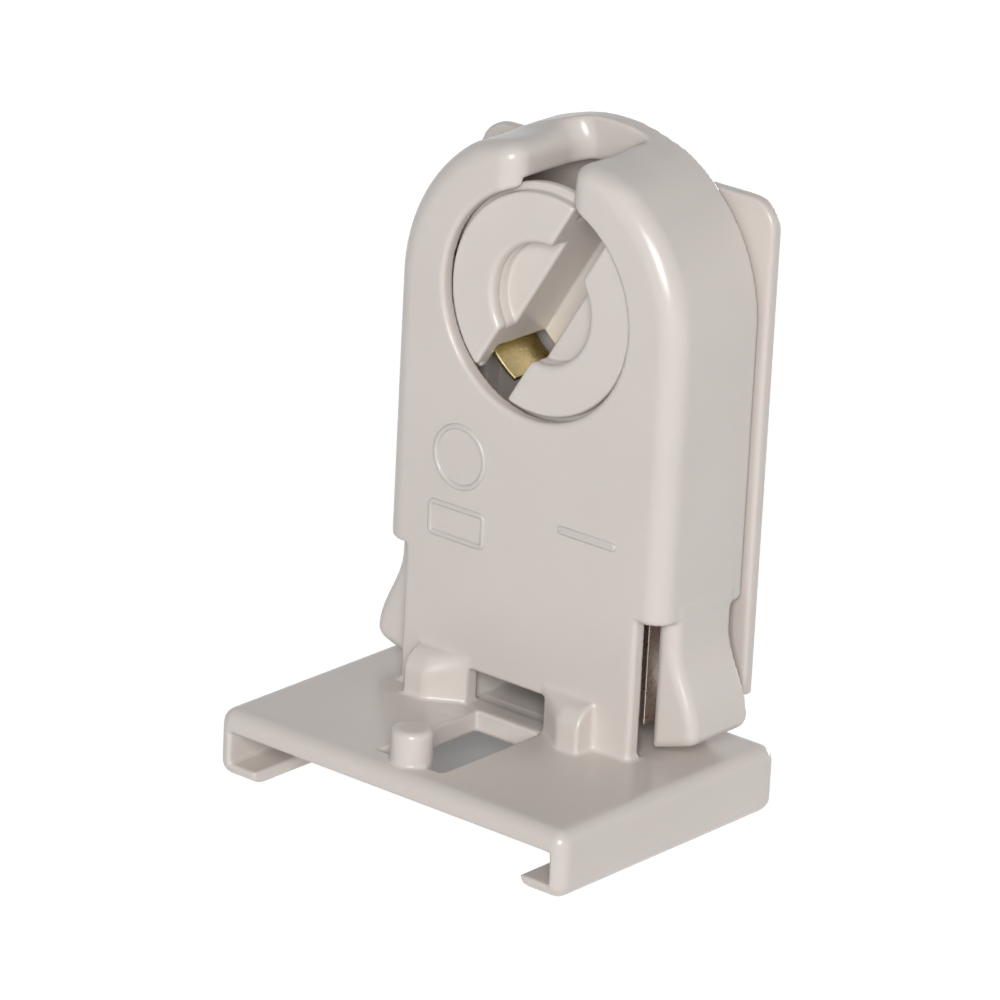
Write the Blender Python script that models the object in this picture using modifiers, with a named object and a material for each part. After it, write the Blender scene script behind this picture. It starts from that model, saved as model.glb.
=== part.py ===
"""Rotary lamp holder for a fluorescent tube with two pins, on a slide-on foot.

+Z is up, the lamp side faces -Y, and the origin is the middle of the foot's underside.
Every length below is in millimetres and becomes metres where a shape is made.
"""

import functools
import math

import bmesh
import bpy
from mathutils import Matrix, Vector

MM = 0.001
OBJECT_NAME = "fluorescent_tube_lamp_holder"

# Clearances between pieces
RUNNING_GAP = 0.3
SEAT_GAP = 0.25
OVERLAP = 0.6
FLUSH_GAP = 0.1
BEYOND = 1.0

# Foot: a plate whose sides turn down and in, so that it slides over a rail
FOOT_WIDTH = 33.7
FOOT_DEPTH = 25.2
FOOT_HEIGHT = 5.35
FOOT_PLATE = 1.8
FOOT_WALL = 1.3
FOOT_LIP = 1.1
FOOT_LIP_REACH = 2.6
FOOT_EDGE_ROUND = 1.1

# Opening in the foot's plate, in front of the tower
CUTOUT_WIDTH = 6.1
CUTOUT_FRONT_MARGIN = 2.7
CUTOUT_BACK_MARGIN = 0.45
PEG_RADIUS = 1.6
PEG_HEIGHT = 2.7
PEG_ROUND = 0.5

# Tower, measured back from its front face to the back of the cover
TOWER_DEPTH = 11.0
TOWER_HALF_WIDTH = 13.5
LAMP_AXIS_HEIGHT = 38.0
ARCH_DROP = 0.6
FRONT_WALL = 1.3
SIDE_WALL = 1.3
TOWER_EDGE_ROUND = 1.8
SHOULDER_HEIGHT = 16.4
LEG_HALF_WIDTH = 11.2

# Mouth at the top, through which the lamp's pins come in
MOUTH_WIDTH = 4.8
MOUTH_LIP_ROUND = 1.9
MOUTH_BACK_WALL = 1.65
MOUTH_BACK_STEP = 0.15
CROWN_HALF_WIDTH = 5.6

# Rotor
ROTOR_RADIUS = 8.5
ROTOR_SETBACK = 0.7
ROTOR_EDGE_ROUND = 0.35
FLANGE_RADIUS = 9.1
FLANGE_THICKNESS = 0.75
DRUM_RADIUS = 7.0
DRUM_FLOOR = 1.5
ROTOR_SLOT_WIDTH = 3.6
ROTOR_SLOT_DEPTH = 6.9
RECESS_RADIUS = 4.6
RECESS_DEPTH = 1.9
RECESS_ROUND = 0.5
ROTOR_TILT_DEG = 31.0
PIVOT_RADIUS = 2.1
PIVOT_ENGAGEMENT = 0.7

# Rear cover
COVER_HALF_WIDTH = 14.05
COVER_FOOT_GAP = 3.3
COVER_RISE = 9.3
COVER_PLATE = 1.1
COVER_CORNER = 2.4
COVER_RAIL = 1.0
COVER_RAIL_DEPTH = 1.6
COVER_RAIL_LIFT = 1.0
WIRE_HOLE_RADIUS = 1.0
WIRE_HOLE_PITCH = 3.0

# Barbs on the tower's sides, free at the slit and at the bottom
BARB_SETBACK = 2.0
BARB_LENGTH = 6.5
BARB_REACH = 2.1
BARB_TIP_RISE = 2.65
BARB_TIP_ROUND = 1.15
BARB_UNDERSIDE_DEG = 18.0
BARB_FLARE_RISE = 9.25
BARB_EDGE_ROUND = 0.9
BARB_WALL = 1.3
BARB_FOOT_GAP = 0.5
BARB_INNER_GAP = 0.3
BARB_POCKET_TOP = 1.2

# Window at the tower's foot, a little to one side, and the wedge rib on each side of it
WINDOW_X = -0.75
WINDOW_WIDTH = 7.5
WINDOW_HEIGHT = 2.75
RIB_OUTER_X = 8.55
RIB_RIDGE_X = 6.55
RIB_DEPTH = 1.9
RIB_FRONT_HEIGHT = 1.7
RIB_ROUND_STEPS = 6

# Contacts: one folded brass strip on each side
STRIP = 0.4
STRIP_WIDTH = 5.0
STRIP_SETBACK = 3.0
CONTACT_RADIUS = 8.3
CONTACT_BULGE = 0.8
CONTACT_BULGE_DEG = 13.0
CONTACT_TOP_DEG = 24.0
CONTACT_END_DEG = -62.0
TERMINAL_X = 10.0
TERMINAL_FOOT_GAP = 1.85
TERMINAL_JOG = 3.2
TERMINAL_JOG_LIFT = 2.1

# Wire clamps: one folded steel leaf in each terminal
LEAF = 0.35
LEAF_HEIGHT = 5.4
CLAMP_RISE = 6.35
CHAMBER_WALL = 0.9
CHAMBER_INNER_X = 6.0
CHAMBER_TOP = 16.0
CHAMBER_BACK_ROOM = 1.2
LEAF_FOOT_SETBACK = 1.2
LEAF_FOLD_ROOM = 2.4
LEAF_FOLD_RADIUS = 0.8
LEAF_TONGUE = 3.4
SILL_DEPTH = 1.1
SILL_LAP = 0.6

# Raised marks on the front face
MARK_RAISE = 0.2
RING_MARK_X = -6.3
RING_MARK_Z = 24.6
RING_MARK_RADIUS = 2.6
FRAME_MARK_X = -6.3
FRAME_MARK_Z = 19.3
FRAME_MARK_WIDTH = 5.6
FRAME_MARK_HEIGHT = 2.9
BAR_MARK_X = 6.2
BAR_MARK_Z = 21.6
BAR_MARK_WIDTH = 5.4
MARK_LINE = 0.45

# Smoothness of round shapes
TURN_STEPS = 72
ARC_STEP_DEG = 6.0
ROUND_SEGMENTS = 4
FLARE_STEPS = 8

# Values that follow from the ones above
foot_front = -FOOT_DEPTH / 2
foot_back = FOOT_DEPTH / 2
face_y = foot_back - TOWER_DEPTH
rotor_face = face_y + ROTOR_SETBACK
arch_z = LAMP_AXIS_HEIGHT - ARCH_DROP
plate_under = FOOT_HEIGHT - FOOT_PLATE
cover_front = foot_back - COVER_PLATE
cover_bottom = FOOT_HEIGHT + COVER_FOOT_GAP
cover_top = LAMP_AXIS_HEIGHT + COVER_RISE
tower_back = cover_front - SEAT_GAP
cavity_front = face_y + FRONT_WALL
cavity_half_width = TOWER_HALF_WIDTH - SIDE_WALL
bore_radius = ROTOR_RADIUS + RUNNING_GAP
flange_front = cavity_front + SEAT_GAP
flange_back = flange_front + FLANGE_THICKNESS
flange_room = FLANGE_RADIUS + RUNNING_GAP
slot_floor = rotor_face + ROTOR_SLOT_DEPTH
drum_back = slot_floor + DRUM_FLOOR
strip_front = face_y + STRIP_SETBACK
clamp_height = FOOT_HEIGHT + CLAMP_RISE
barb_front = face_y + BARB_SETBACK
barb_back = barb_front + BARB_LENGTH
barb_inner = LEG_HALF_WIDTH + BARB_INNER_GAP
barb_bottom = FOOT_HEIGHT + BARB_FOOT_GAP
barb_tip = (TOWER_HALF_WIDTH + BARB_REACH, FOOT_HEIGHT + BARB_TIP_RISE)
outer_leg_x = cavity_half_width - RUNNING_GAP - STRIP / 2
mouth_back = tower_back - MOUTH_BACK_WALL


def clear_scene():
    for obj in list(bpy.data.objects):
        bpy.data.objects.remove(obj, do_unlink=True)
    for group in list(bpy.data.collections):
        bpy.data.collections.remove(group)


def new_collection(name, hidden):
    group = bpy.data.collections.new(name)
    bpy.context.scene.collection.children.link(group)
    group.hide_render = hidden
    return group


def new_material(name, colour, roughness, metallic=0.0):
    material = bpy.data.materials.new(name)
    material.use_nodes = True
    shader = material.node_tree.nodes["Principled BSDF"]
    shader.inputs["Base Color"].default_value = (*colour, 1.0)
    shader.inputs["Roughness"].default_value = roughness
    shader.inputs["Metallic"].default_value = metallic
    material.diffuse_color = (*colour, 1.0)
    return material


def place(obj, group):
    for other in list(obj.users_collection):
        other.objects.unlink(obj)
    group.objects.link(obj)
    return obj


def as_helper(obj):
    """A cutter or a joined shape: it isn't a piece of its own."""
    place(obj, helpers)
    obj.hide_render = True
    obj.display_type = "WIRE"
    return obj


def from_bmesh(name, mesh_data):
    mesh = bpy.data.meshes.new(name)
    mesh_data.to_mesh(mesh)
    mesh_data.free()
    obj = bpy.data.objects.new(name, mesh)
    bpy.context.scene.collection.objects.link(obj)
    return obj


def block(name, low, high):
    """A box between two corners, in millimetres."""
    made = bmesh.new()
    bmesh.ops.create_cube(made, size=1.0)
    size = Vector(high) - Vector(low)
    middle = (Vector(high) + Vector(low)) / 2
    bmesh.ops.scale(made, vec=size * MM, verts=made.verts)
    bmesh.ops.translate(made, vec=middle * MM, verts=made.verts)
    return from_bmesh(name, made)


def mesh_from_curve(curve_object):
    """The curve's solid as a mesh object in the same place, with its caps welded on."""
    bpy.context.view_layer.update()
    graph = bpy.context.evaluated_depsgraph_get()
    mesh = bpy.data.meshes.new_from_object(curve_object.evaluated_get(graph))
    name = curve_object.name
    matrix = curve_object.matrix_world.copy()
    bpy.data.objects.remove(curve_object, do_unlink=True)
    welded = bmesh.new()
    welded.from_mesh(mesh)
    bmesh.ops.transform(welded, matrix=matrix, verts=welded.verts)
    bmesh.ops.remove_doubles(welded, verts=welded.verts, dist=1e-6)
    bmesh.ops.dissolve_limit(
        welded, angle_limit=math.radians(0.5), verts=welded.verts, edges=welded.edges
    )
    bmesh.ops.recalc_face_normals(welded, faces=welded.faces)
    bpy.data.meshes.remove(mesh)
    made = from_bmesh(name, welded)
    return made


def extruded(name, outline, start, end, axis="Y"):
    """A flat outline given thickness along an axis. An outline holds (x, z) pairs for Y,
    (y, z) pairs for X and (x, y) pairs for Z."""
    curve = bpy.data.curves.new(name, "CURVE")
    curve.dimensions = "2D"
    curve.fill_mode = "BOTH"
    curve.extrude = (end - start) / 2 * MM
    line = curve.splines.new("POLY")
    line.points.add(len(outline) - 1)
    for point, (across, up) in zip(line.points, outline):
        point.co = (across * MM, up * MM, 0.0, 1.0)
    line.use_cyclic_u = True
    obj = bpy.data.objects.new(name, curve)
    bpy.context.scene.collection.objects.link(obj)
    middle = (start + end) / 2 * MM
    if axis == "Y":
        obj.matrix_world = Matrix.Translation((0, middle, 0)) @ Matrix.Rotation(
            math.radians(90), 4, "X"
        )
    elif axis == "X":
        turn = Matrix(((0, 0, 1), (1, 0, 0), (0, 1, 0))).to_4x4()
        obj.matrix_world = Matrix.Translation((middle, 0, 0)) @ turn
    else:
        obj.matrix_world = Matrix.Translation((0, 0, middle))
    return mesh_from_curve(obj)


def turned(name, profile, steps=TURN_STEPS):
    """A profile of (radius, y) pairs turned round the lamp axis. It runs down the outer
    side from the back of the holder to the front."""
    points = [(radius * MM, 0.0, along * MM) for radius, along in profile]
    made = bmesh.new()
    corners = [made.verts.new(point) for point in points]
    for first, second in zip(corners, corners[1:]):
        made.edges.new((first, second))
    obj = from_bmesh(name, made)
    obj.location = (0, 0, LAMP_AXIS_HEIGHT * MM)
    obj.rotation_euler = (math.radians(-90), 0, 0)
    screw = obj.modifiers.new("Turn", "SCREW")
    screw.axis = "Z"
    screw.steps = steps
    screw.render_steps = steps
    screw.use_merge_vertices = True
    screw.merge_threshold = 1e-6
    return obj


def arc(centre, radius, start_deg, end_deg, step_deg=ARC_STEP_DEG):
    """Points along an arc, both ends included."""
    count = max(2, math.ceil(abs(end_deg - start_deg) / step_deg))
    angles = [math.radians(start_deg + (end_deg - start_deg) * i / count) for i in range(count + 1)]
    return [(centre[0] + radius * math.cos(a), centre[1] + radius * math.sin(a)) for a in angles]


def mirrored(points):
    """The same outline on the other side of the middle plane, in the same turning sense."""
    return [(-x, z) for x, z in reversed(points)]


def boolean(obj, other, operation):
    modifier = obj.modifiers.new(f"{operation.title()} {other.name}", "BOOLEAN")
    modifier.operation = operation
    modifier.solver = "EXACT"
    modifier.object = as_helper(other)
    return modifier


def cut(obj, other):
    return boolean(obj, other, "DIFFERENCE")


def join(obj, other):
    return boolean(obj, other, "UNION")


def bevel(obj, width, segments=ROUND_SEGMENTS):
    modifier = obj.modifiers.new("Rounded edges", "BEVEL")
    modifier.width = width * MM
    modifier.segments = segments
    modifier.limit_method = "ANGLE"
    modifier.angle_limit = math.radians(40)
    return modifier


def lofted(name, levels, axis="Y"):
    """A closed skin over outlines of (x, z) pairs, each at its own y, or of (x, y) pairs,
    each at its own z. All outlines have the same number of points."""
    made = bmesh.new()
    rings = []
    for level, outline in levels:
        corners = [(a, level, b) if axis == "Y" else (a, b, level) for a, b in outline]
        rings.append([made.verts.new(Vector(corner) * MM) for corner in corners])
    for near, far in zip(rings, rings[1:]):
        for i in range(len(near)):
            j = (i + 1) % len(near)
            made.faces.new((near[i], near[j], far[j], far[i]))
    made.faces.new(rings[0])
    made.faces.new(rings[-1])
    bmesh.ops.remove_doubles(made, verts=made.verts, dist=1e-6)
    bmesh.ops.triangulate(made, faces=[face for face in made.faces if len(face.verts) > 4])
    bmesh.ops.recalc_face_normals(made, faces=made.faces)
    return from_bmesh(name, made)


def rounded_front(outline_at, radius, start, end):
    """Levels for a loft whose edge at the start is rounded."""
    levels = []
    for i in range(ROUND_SEGMENTS + 1):
        angle = math.radians(90 * (1 - i / ROUND_SEGMENTS))
        levels.append((start + radius * (1 - math.sin(angle)), outline_at(radius * (1 - math.cos(angle)))))
    return levels + [(end, outline_at(0.0))]


def finish_piece(obj, name, material):
    obj.name = name
    place(obj, pieces)
    obj.data.materials.clear()
    obj.data.materials.append(material)
    obj.data.shade_smooth()
    return obj


def tower_outline(inset):
    """Legs, shoulders and arch of the tower, with the mouth open at the top. The inset
    moves the arch and the mouth's lips into the plastic, as on a rounded front edge."""
    arch = (0.0, arch_z)
    lip_x = MOUTH_WIDTH / 2 + MOUTH_LIP_ROUND
    lip_rise = math.sqrt((TOWER_HALF_WIDTH - MOUTH_LIP_ROUND) ** 2 - lip_x**2)
    lip = (lip_x, arch_z + lip_rise)
    lip_deg = math.degrees(math.atan2(lip_rise, lip_x))
    right = [
        (LEG_HALF_WIDTH, FOOT_HEIGHT - OVERLAP),
        (LEG_HALF_WIDTH, SHOULDER_HEIGHT),
        (TOWER_HALF_WIDTH - inset, SHOULDER_HEIGHT),
    ]
    right += arc(arch, TOWER_HALF_WIDTH - inset, 0, lip_deg)
    right += arc(lip, MOUTH_LIP_ROUND - inset, lip_deg, 180, 14)
    right += [(MOUTH_WIDTH / 2 + inset, LAMP_AXIS_HEIGHT + bore_radius - 2 * OVERLAP)]
    return right + mirrored(right)


def cavity_outline():
    """Hollow of the tower: straight sides, an arch, and room for the rotor below the crown."""
    arch = (0.0, LAMP_AXIS_HEIGHT)
    crown_rise = math.sqrt(cavity_half_width**2 - CROWN_HALF_WIDTH**2)
    outer_deg = math.degrees(math.atan2(crown_rise, CROWN_HALF_WIDTH))
    room_rise = math.sqrt(flange_room**2 - CROWN_HALF_WIDTH**2)
    room_deg = math.degrees(math.atan2(room_rise, CROWN_HALF_WIDTH))
    right = [(cavity_half_width, FOOT_HEIGHT)]
    right += arc(arch, cavity_half_width, 0, outer_deg)
    right += arc(arch, flange_room, room_deg, 90)
    return right + mirrored(right[:-1])


def barb_outline(side, inset):
    """Section of a barb: it leaves the tower's wall, flares out and turns back in round its
    tip. The inset moves its outer side in, as on the rounded front edge."""
    tip_x, tip_z = barb_tip
    wall_top = SHOULDER_HEIGHT + OVERLAP
    flare_top = FOOT_HEIGHT + BARB_FLARE_RISE
    flare = []
    for i in range(1, FLARE_STEPS + 1):
        share = 1 - i / FLARE_STEPS
        reach = BARB_REACH * share**2 * (3 - 2 * share)
        flare.append((TOWER_HALF_WIDTH + reach - inset, flare_top - (flare_top - tip_z) * share))
    right = [
        (cavity_half_width + FLUSH_GAP, wall_top),
        (barb_inner, SHOULDER_HEIGHT - OVERLAP),
        (barb_inner, barb_bottom + inset),
    ]
    tip_at = (tip_x - BARB_TIP_ROUND, tip_z)
    right += arc(tip_at, BARB_TIP_ROUND - inset, BARB_UNDERSIDE_DEG - 90, 0, 18)
    right += flare
    right += [(TOWER_HALF_WIDTH - inset - FLUSH_GAP, wall_top)]
    return right if side > 0 else mirrored(right)


def barb_pocket_outline(side):
    """Hollow of a barb, which leaves its outer and lower walls."""
    tip_x, tip_z = barb_tip
    inner = barb_inner - OVERLAP
    pocket_bottom = barb_bottom + BARB_WALL
    pocket_top = SHOULDER_HEIGHT - BARB_POCKET_TOP
    middle_z = (pocket_top + tip_z) / 2
    right = [
        (inner, pocket_bottom),
        (barb_inner, pocket_bottom),
        (tip_x - BARB_WALL, tip_z + BARB_TIP_ROUND / 4),
        (TOWER_HALF_WIDTH - BARB_WALL / 2, middle_z),
        (cavity_half_width, pocket_top),
        (inner, pocket_top),
    ]
    return right if side > 0 else mirrored(right)


def foot_shape():
    foot = block(
        "join_foot",
        (-FOOT_WIDTH / 2, foot_front, 0),
        (FOOT_WIDTH / 2, foot_back, FOOT_HEIGHT),
    )
    bevel(foot, FOOT_EDGE_ROUND)
    return foot


def rib_shape(side):
    """A wedge beside the window. Its front face turns back in a quarter circle at the top,
    and its inner face slants from the ridge to the window's side at every height."""
    low_z = FOOT_HEIGHT - OVERLAP
    round_z = FOOT_HEIGHT + RIB_FRONT_HEIGHT
    heights = [(low_z, RIB_DEPTH)]
    for i in range(RIB_ROUND_STEPS + 1):
        angle = math.radians(90 * i / RIB_ROUND_STEPS)
        depth = (RIB_DEPTH + FLUSH_GAP) * math.cos(angle) - FLUSH_GAP
        heights.append((round_z + RIB_DEPTH * math.sin(angle), depth))
    levels = []
    for height, depth in heights:
        plan = [
            (WINDOW_WIDTH / 2, face_y + OVERLAP),
            (WINDOW_WIDTH / 2, face_y),
            (RIB_RIDGE_X, face_y - depth),
            (RIB_OUTER_X, face_y - depth),
            (RIB_OUTER_X, face_y + OVERLAP),
        ]
        levels.append((height, [(WINDOW_X + side * x, y) for x, y in plan]))
    return lofted(f"join_rib_{name_of(side)}", levels, "Z")


def mark_shapes():
    """Plain raised marks: a ring, a frame and a bar."""
    back = face_y + OVERLAP
    front = face_y - MARK_RAISE
    ring_at = (RING_MARK_X, RING_MARK_Z)
    ring = extruded("join_ring_mark", arc(ring_at, RING_MARK_RADIUS, 0, 345, 15), front, back)
    hole = arc(ring_at, RING_MARK_RADIUS - MARK_LINE, 0, 345, 15)
    cut(ring, extruded("cut_ring_mark", hole, front - OVERLAP, back + OVERLAP))
    half_w = FRAME_MARK_WIDTH / 2
    half_h = FRAME_MARK_HEIGHT / 2
    frame = block(
        "join_frame_mark",
        (FRAME_MARK_X - half_w, front, FRAME_MARK_Z - half_h),
        (FRAME_MARK_X + half_w, back, FRAME_MARK_Z + half_h),
    )
    inner = block(
        "cut_frame_mark",
        (FRAME_MARK_X - half_w + MARK_LINE, front - OVERLAP, FRAME_MARK_Z - half_h + MARK_LINE),
        (FRAME_MARK_X + half_w - MARK_LINE, back + OVERLAP, FRAME_MARK_Z + half_h - MARK_LINE),
    )
    cut(frame, inner)
    bar = block(
        "join_bar_mark",
        (BAR_MARK_X - BAR_MARK_WIDTH / 2, front, BAR_MARK_Z - MARK_LINE / 2),
        (BAR_MARK_X + BAR_MARK_WIDTH / 2, back, BAR_MARK_Z + MARK_LINE / 2),
    )
    return [ring, frame, bar]


def peg_shape():
    """A round stop at the front edge of the opening, domed at its rim."""
    height = FOOT_HEIGHT + PEG_HEIGHT
    profile = [(0, height)]
    profile += arc((PEG_RADIUS - PEG_ROUND, height - PEG_ROUND), PEG_ROUND, 90, 0, 30)
    profile += [(PEG_RADIUS, plate_under + FLUSH_GAP), (0, plate_under + FLUSH_GAP)]
    made = bmesh.new()
    corners = [made.verts.new((radius * MM, 0, up * MM)) for radius, up in profile]
    for first, second in zip(corners, corners[1:]):
        made.edges.new((first, second))
    peg = from_bmesh("join_peg", made)
    peg.location = (0, (foot_front + CUTOUT_FRONT_MARGIN) * MM, 0)
    screw = peg.modifiers.new("Turn", "SCREW")
    screw.axis = "Z"
    screw.steps = 28
    screw.render_steps = 28
    screw.use_merge_vertices = True
    screw.merge_threshold = 1e-6
    return peg


def name_of(side):
    return "right" if side > 0 else "left"


def make_housing():
    """Foot and tower, moulded as one piece."""
    housing = lofted(
        "housing", rounded_front(tower_outline, TOWER_EDGE_ROUND, face_y, tower_back)
    )
    back_wall_radius = TOWER_HALF_WIDTH - MOUTH_BACK_STEP
    wall_half_width = CROWN_HALF_WIDTH - RUNNING_GAP
    wall_deg = math.degrees(math.acos(wall_half_width / back_wall_radius))
    wall = arc((0.0, arch_z), back_wall_radius, wall_deg, 180 - wall_deg)
    wall_bottom = LAMP_AXIS_HEIGHT + bore_radius - 2 * OVERLAP
    wall += [(-wall_half_width, wall_bottom), (wall_half_width, wall_bottom)]
    join(housing, extruded("join_mouth_wall", wall, mouth_back, tower_back - MOUTH_BACK_STEP))

    cavity = extruded("cut_cavity", cavity_outline(), cavity_front, foot_back + OVERLAP)
    cut(housing, cavity)

    bore = turned(
        "cut_bore",
        [
            (0, cavity_front + OVERLAP),
            (bore_radius, cavity_front + OVERLAP),
            (bore_radius, face_y + ROTOR_EDGE_ROUND),
            (bore_radius + ROTOR_EDGE_ROUND, face_y),
            (bore_radius + ROTOR_EDGE_ROUND, face_y - OVERLAP),
            (0, face_y - OVERLAP),
        ],
    )
    cut(housing, bore)

    for side in (1, -1):
        section = functools.partial(barb_outline, side)
        levels = rounded_front(section, BARB_EDGE_ROUND, barb_front, barb_back)
        barb = lofted(f"join_barb_{name_of(side)}", levels)
        pocket = extruded(
            f"cut_barb_{name_of(side)}",
            barb_pocket_outline(side),
            barb_front + BARB_WALL,
            barb_back + OVERLAP,
        )
        cut(barb, pocket)
        join(housing, barb)

    join(housing, foot_shape())
    join(housing, peg_shape())
    for side in (1, -1):
        join(housing, rib_shape(side))
        wall_x = sorted((side * CHAMBER_INNER_X, side * (CHAMBER_INNER_X - CHAMBER_WALL)))
        chamber = block(
            f"join_chamber_{name_of(side)}",
            (wall_x[0], cavity_front - OVERLAP, FOOT_HEIGHT - OVERLAP),
            (wall_x[1], tower_back - CHAMBER_BACK_ROOM, CHAMBER_TOP),
        )
        join(housing, chamber)
    sill = block(
        "join_sill",
        (-LEG_HALF_WIDTH, tower_back - SILL_DEPTH, FOOT_HEIGHT - OVERLAP),
        (LEG_HALF_WIDTH, tower_back, cover_bottom + SILL_LAP),
    )
    join(housing, sill)
    for mark in mark_shapes():
        join(housing, mark)

    channel = block(
        "cut_channel",
        (-FOOT_WIDTH / 2 + FOOT_WALL, foot_front - BEYOND, FOOT_LIP),
        (FOOT_WIDTH / 2 - FOOT_WALL, foot_back + BEYOND, plate_under),
    )
    cut(housing, channel)
    throat_half = FOOT_WIDTH / 2 - FOOT_WALL - FOOT_LIP_REACH
    throat = block(
        "cut_throat",
        (-throat_half, foot_front - BEYOND, -BEYOND),
        (throat_half, foot_back + BEYOND, FOOT_LIP + OVERLAP),
    )
    cut(housing, throat)
    cutout = block(
        "cut_plate_opening",
        (-CUTOUT_WIDTH / 2, foot_front + CUTOUT_FRONT_MARGIN, plate_under - BEYOND),
        (CUTOUT_WIDTH / 2, face_y - CUTOUT_BACK_MARGIN, FOOT_HEIGHT + FLUSH_GAP),
    )
    peg_keep = block(
        "cut_for_peg",
        (-PEG_RADIUS, foot_front, plate_under - 2 * BEYOND),
        (PEG_RADIUS, foot_front + CUTOUT_FRONT_MARGIN + PEG_RADIUS, FOOT_HEIGHT + BEYOND),
    )
    cut(cutout, peg_keep)
    cut(housing, cutout)
    window = block(
        "cut_window",
        (WINDOW_X - WINDOW_WIDTH / 2, face_y - RIB_DEPTH - BEYOND, FOOT_HEIGHT - FLUSH_GAP / 2),
        (WINDOW_X + WINDOW_WIDTH / 2, cavity_front + BEYOND, FOOT_HEIGHT + WINDOW_HEIGHT),
    )
    cut(housing, window)
    return finish_piece(housing, "housing", plastic)


def make_rear_cover():
    """A flat plate with round upper corners, two rails inside the tower and the rotor's pivot."""
    inner_x = COVER_HALF_WIDTH - COVER_CORNER
    inner_z = cover_top - COVER_CORNER
    right = [(COVER_HALF_WIDTH, cover_bottom)]
    right += arc((inner_x, inner_z), COVER_CORNER, 0, 90, 15)
    cover = extruded("rear_cover", right + mirrored(right), cover_front, foot_back)
    rail_outer = cavity_half_width - SEAT_GAP
    for side in (1, -1):
        rail_x = sorted((side * rail_outer, side * (rail_outer - COVER_RAIL)))
        rail = block(
            f"join_rail_{name_of(side)}",
            (rail_x[0], cover_front - COVER_RAIL_DEPTH, SHOULDER_HEIGHT + COVER_RAIL_LIFT),
            (rail_x[1], cover_front + COVER_PLATE / 2, LAMP_AXIS_HEIGHT),
        )
        join(cover, rail)
        for step in (-0.5, 0.5):
            hole = turned(f"cut_wire_hole_{name_of(side)}_{step:+.1f}", [
                (0, foot_back + OVERLAP),
                (WIRE_HOLE_RADIUS, foot_back + OVERLAP),
                (WIRE_HOLE_RADIUS, cover_front - OVERLAP),
                (0, cover_front - OVERLAP),
            ], steps=20)
            wire_x = side * (TERMINAL_X - STRIP / 2 - WIRE_HOLE_RADIUS)
            hole.location = (wire_x * MM, 0, (clamp_height + step * WIRE_HOLE_PITCH) * MM)
            cut(cover, hole)
    pivot = turned(
        "join_pivot",
        [
            (0, cover_front + COVER_PLATE / 2),
            (PIVOT_RADIUS, cover_front + COVER_PLATE / 2),
            (PIVOT_RADIUS, drum_back - PIVOT_ENGAGEMENT),
            (0, drum_back - PIVOT_ENGAGEMENT),
        ],
        steps=32,
    )
    join(cover, pivot)
    return finish_piece(cover, "rear_cover", cover_plastic)


def make_rotor():
    """Disc, flange and drum in one, with a slot right across and a soft recess in the face."""
    edge = ROTOR_EDGE_ROUND
    rim = arc((ROTOR_RADIUS - edge, rotor_face + edge), edge, 0, -90, 30)
    rotor = turned(
        "rotor",
        [
            (0, drum_back),
            (DRUM_RADIUS, drum_back),
            (DRUM_RADIUS, flange_back),
            (FLANGE_RADIUS, flange_back),
            (FLANGE_RADIUS, flange_front),
            (ROTOR_RADIUS, flange_front),
        ]
        + rim
        + [(0, rotor_face)],
    )
    recess_floor = rotor_face + RECESS_DEPTH
    soft_at = (RECESS_RADIUS + RECESS_ROUND, rotor_face + RECESS_ROUND)
    soft = arc(soft_at, RECESS_ROUND, -180, -90, 30)
    recess = turned(
        "cut_recess",
        [(0, recess_floor), (RECESS_RADIUS, recess_floor)]
        + soft
        + [(RECESS_RADIUS + RECESS_ROUND, rotor_face - OVERLAP), (0, rotor_face - OVERLAP)],
        steps=56,
    )
    cut(rotor, recess)
    socket_radius = PIVOT_RADIUS + RUNNING_GAP
    socket_floor = drum_back - PIVOT_ENGAGEMENT - RUNNING_GAP
    socket = turned(
        "cut_socket",
        [
            (0, drum_back + OVERLAP),
            (socket_radius, drum_back + OVERLAP),
            (socket_radius, socket_floor),
            (0, socket_floor),
        ],
        steps=32,
    )
    cut(rotor, socket)
    half_slot = ROTOR_SLOT_WIDTH / 2
    long_half = FLANGE_RADIUS + BEYOND
    slot = block(
        "cut_rotor_slot",
        (-half_slot, rotor_face - BEYOND, -long_half),
        (half_slot, slot_floor, long_half),
    )
    tilt = Matrix.Rotation(math.radians(ROTOR_TILT_DEG), 4, "Y")
    slot.matrix_world = Matrix.Translation((0, 0, LAMP_AXIS_HEIGHT * MM)) @ tilt
    cut(rotor, slot)
    return finish_piece(rotor, "rotor", plastic)


def strip_along(name, path, low, high, thickness, axis, material):
    """A strip folded along a path of (x, z) or (x, y) pairs, as wide as low to high."""
    made = bmesh.new()
    rows = []
    for across, along in path:
        if axis == "Y":
            ends = ((across, low, along), (across, high, along))
        else:
            ends = ((across, along, low), (across, along, high))
        rows.append([made.verts.new(Vector(end) * MM) for end in ends])
    for (a, b), (c, d) in zip(rows, rows[1:]):
        made.faces.new((a, b, d, c))
    strip = from_bmesh(name, made)
    solidify = strip.modifiers.new("Thickness", "SOLIDIFY")
    solidify.thickness = thickness * MM
    solidify.offset = 0.0
    solidify.use_even_offset = True
    return finish_piece(strip, name, material)


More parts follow.
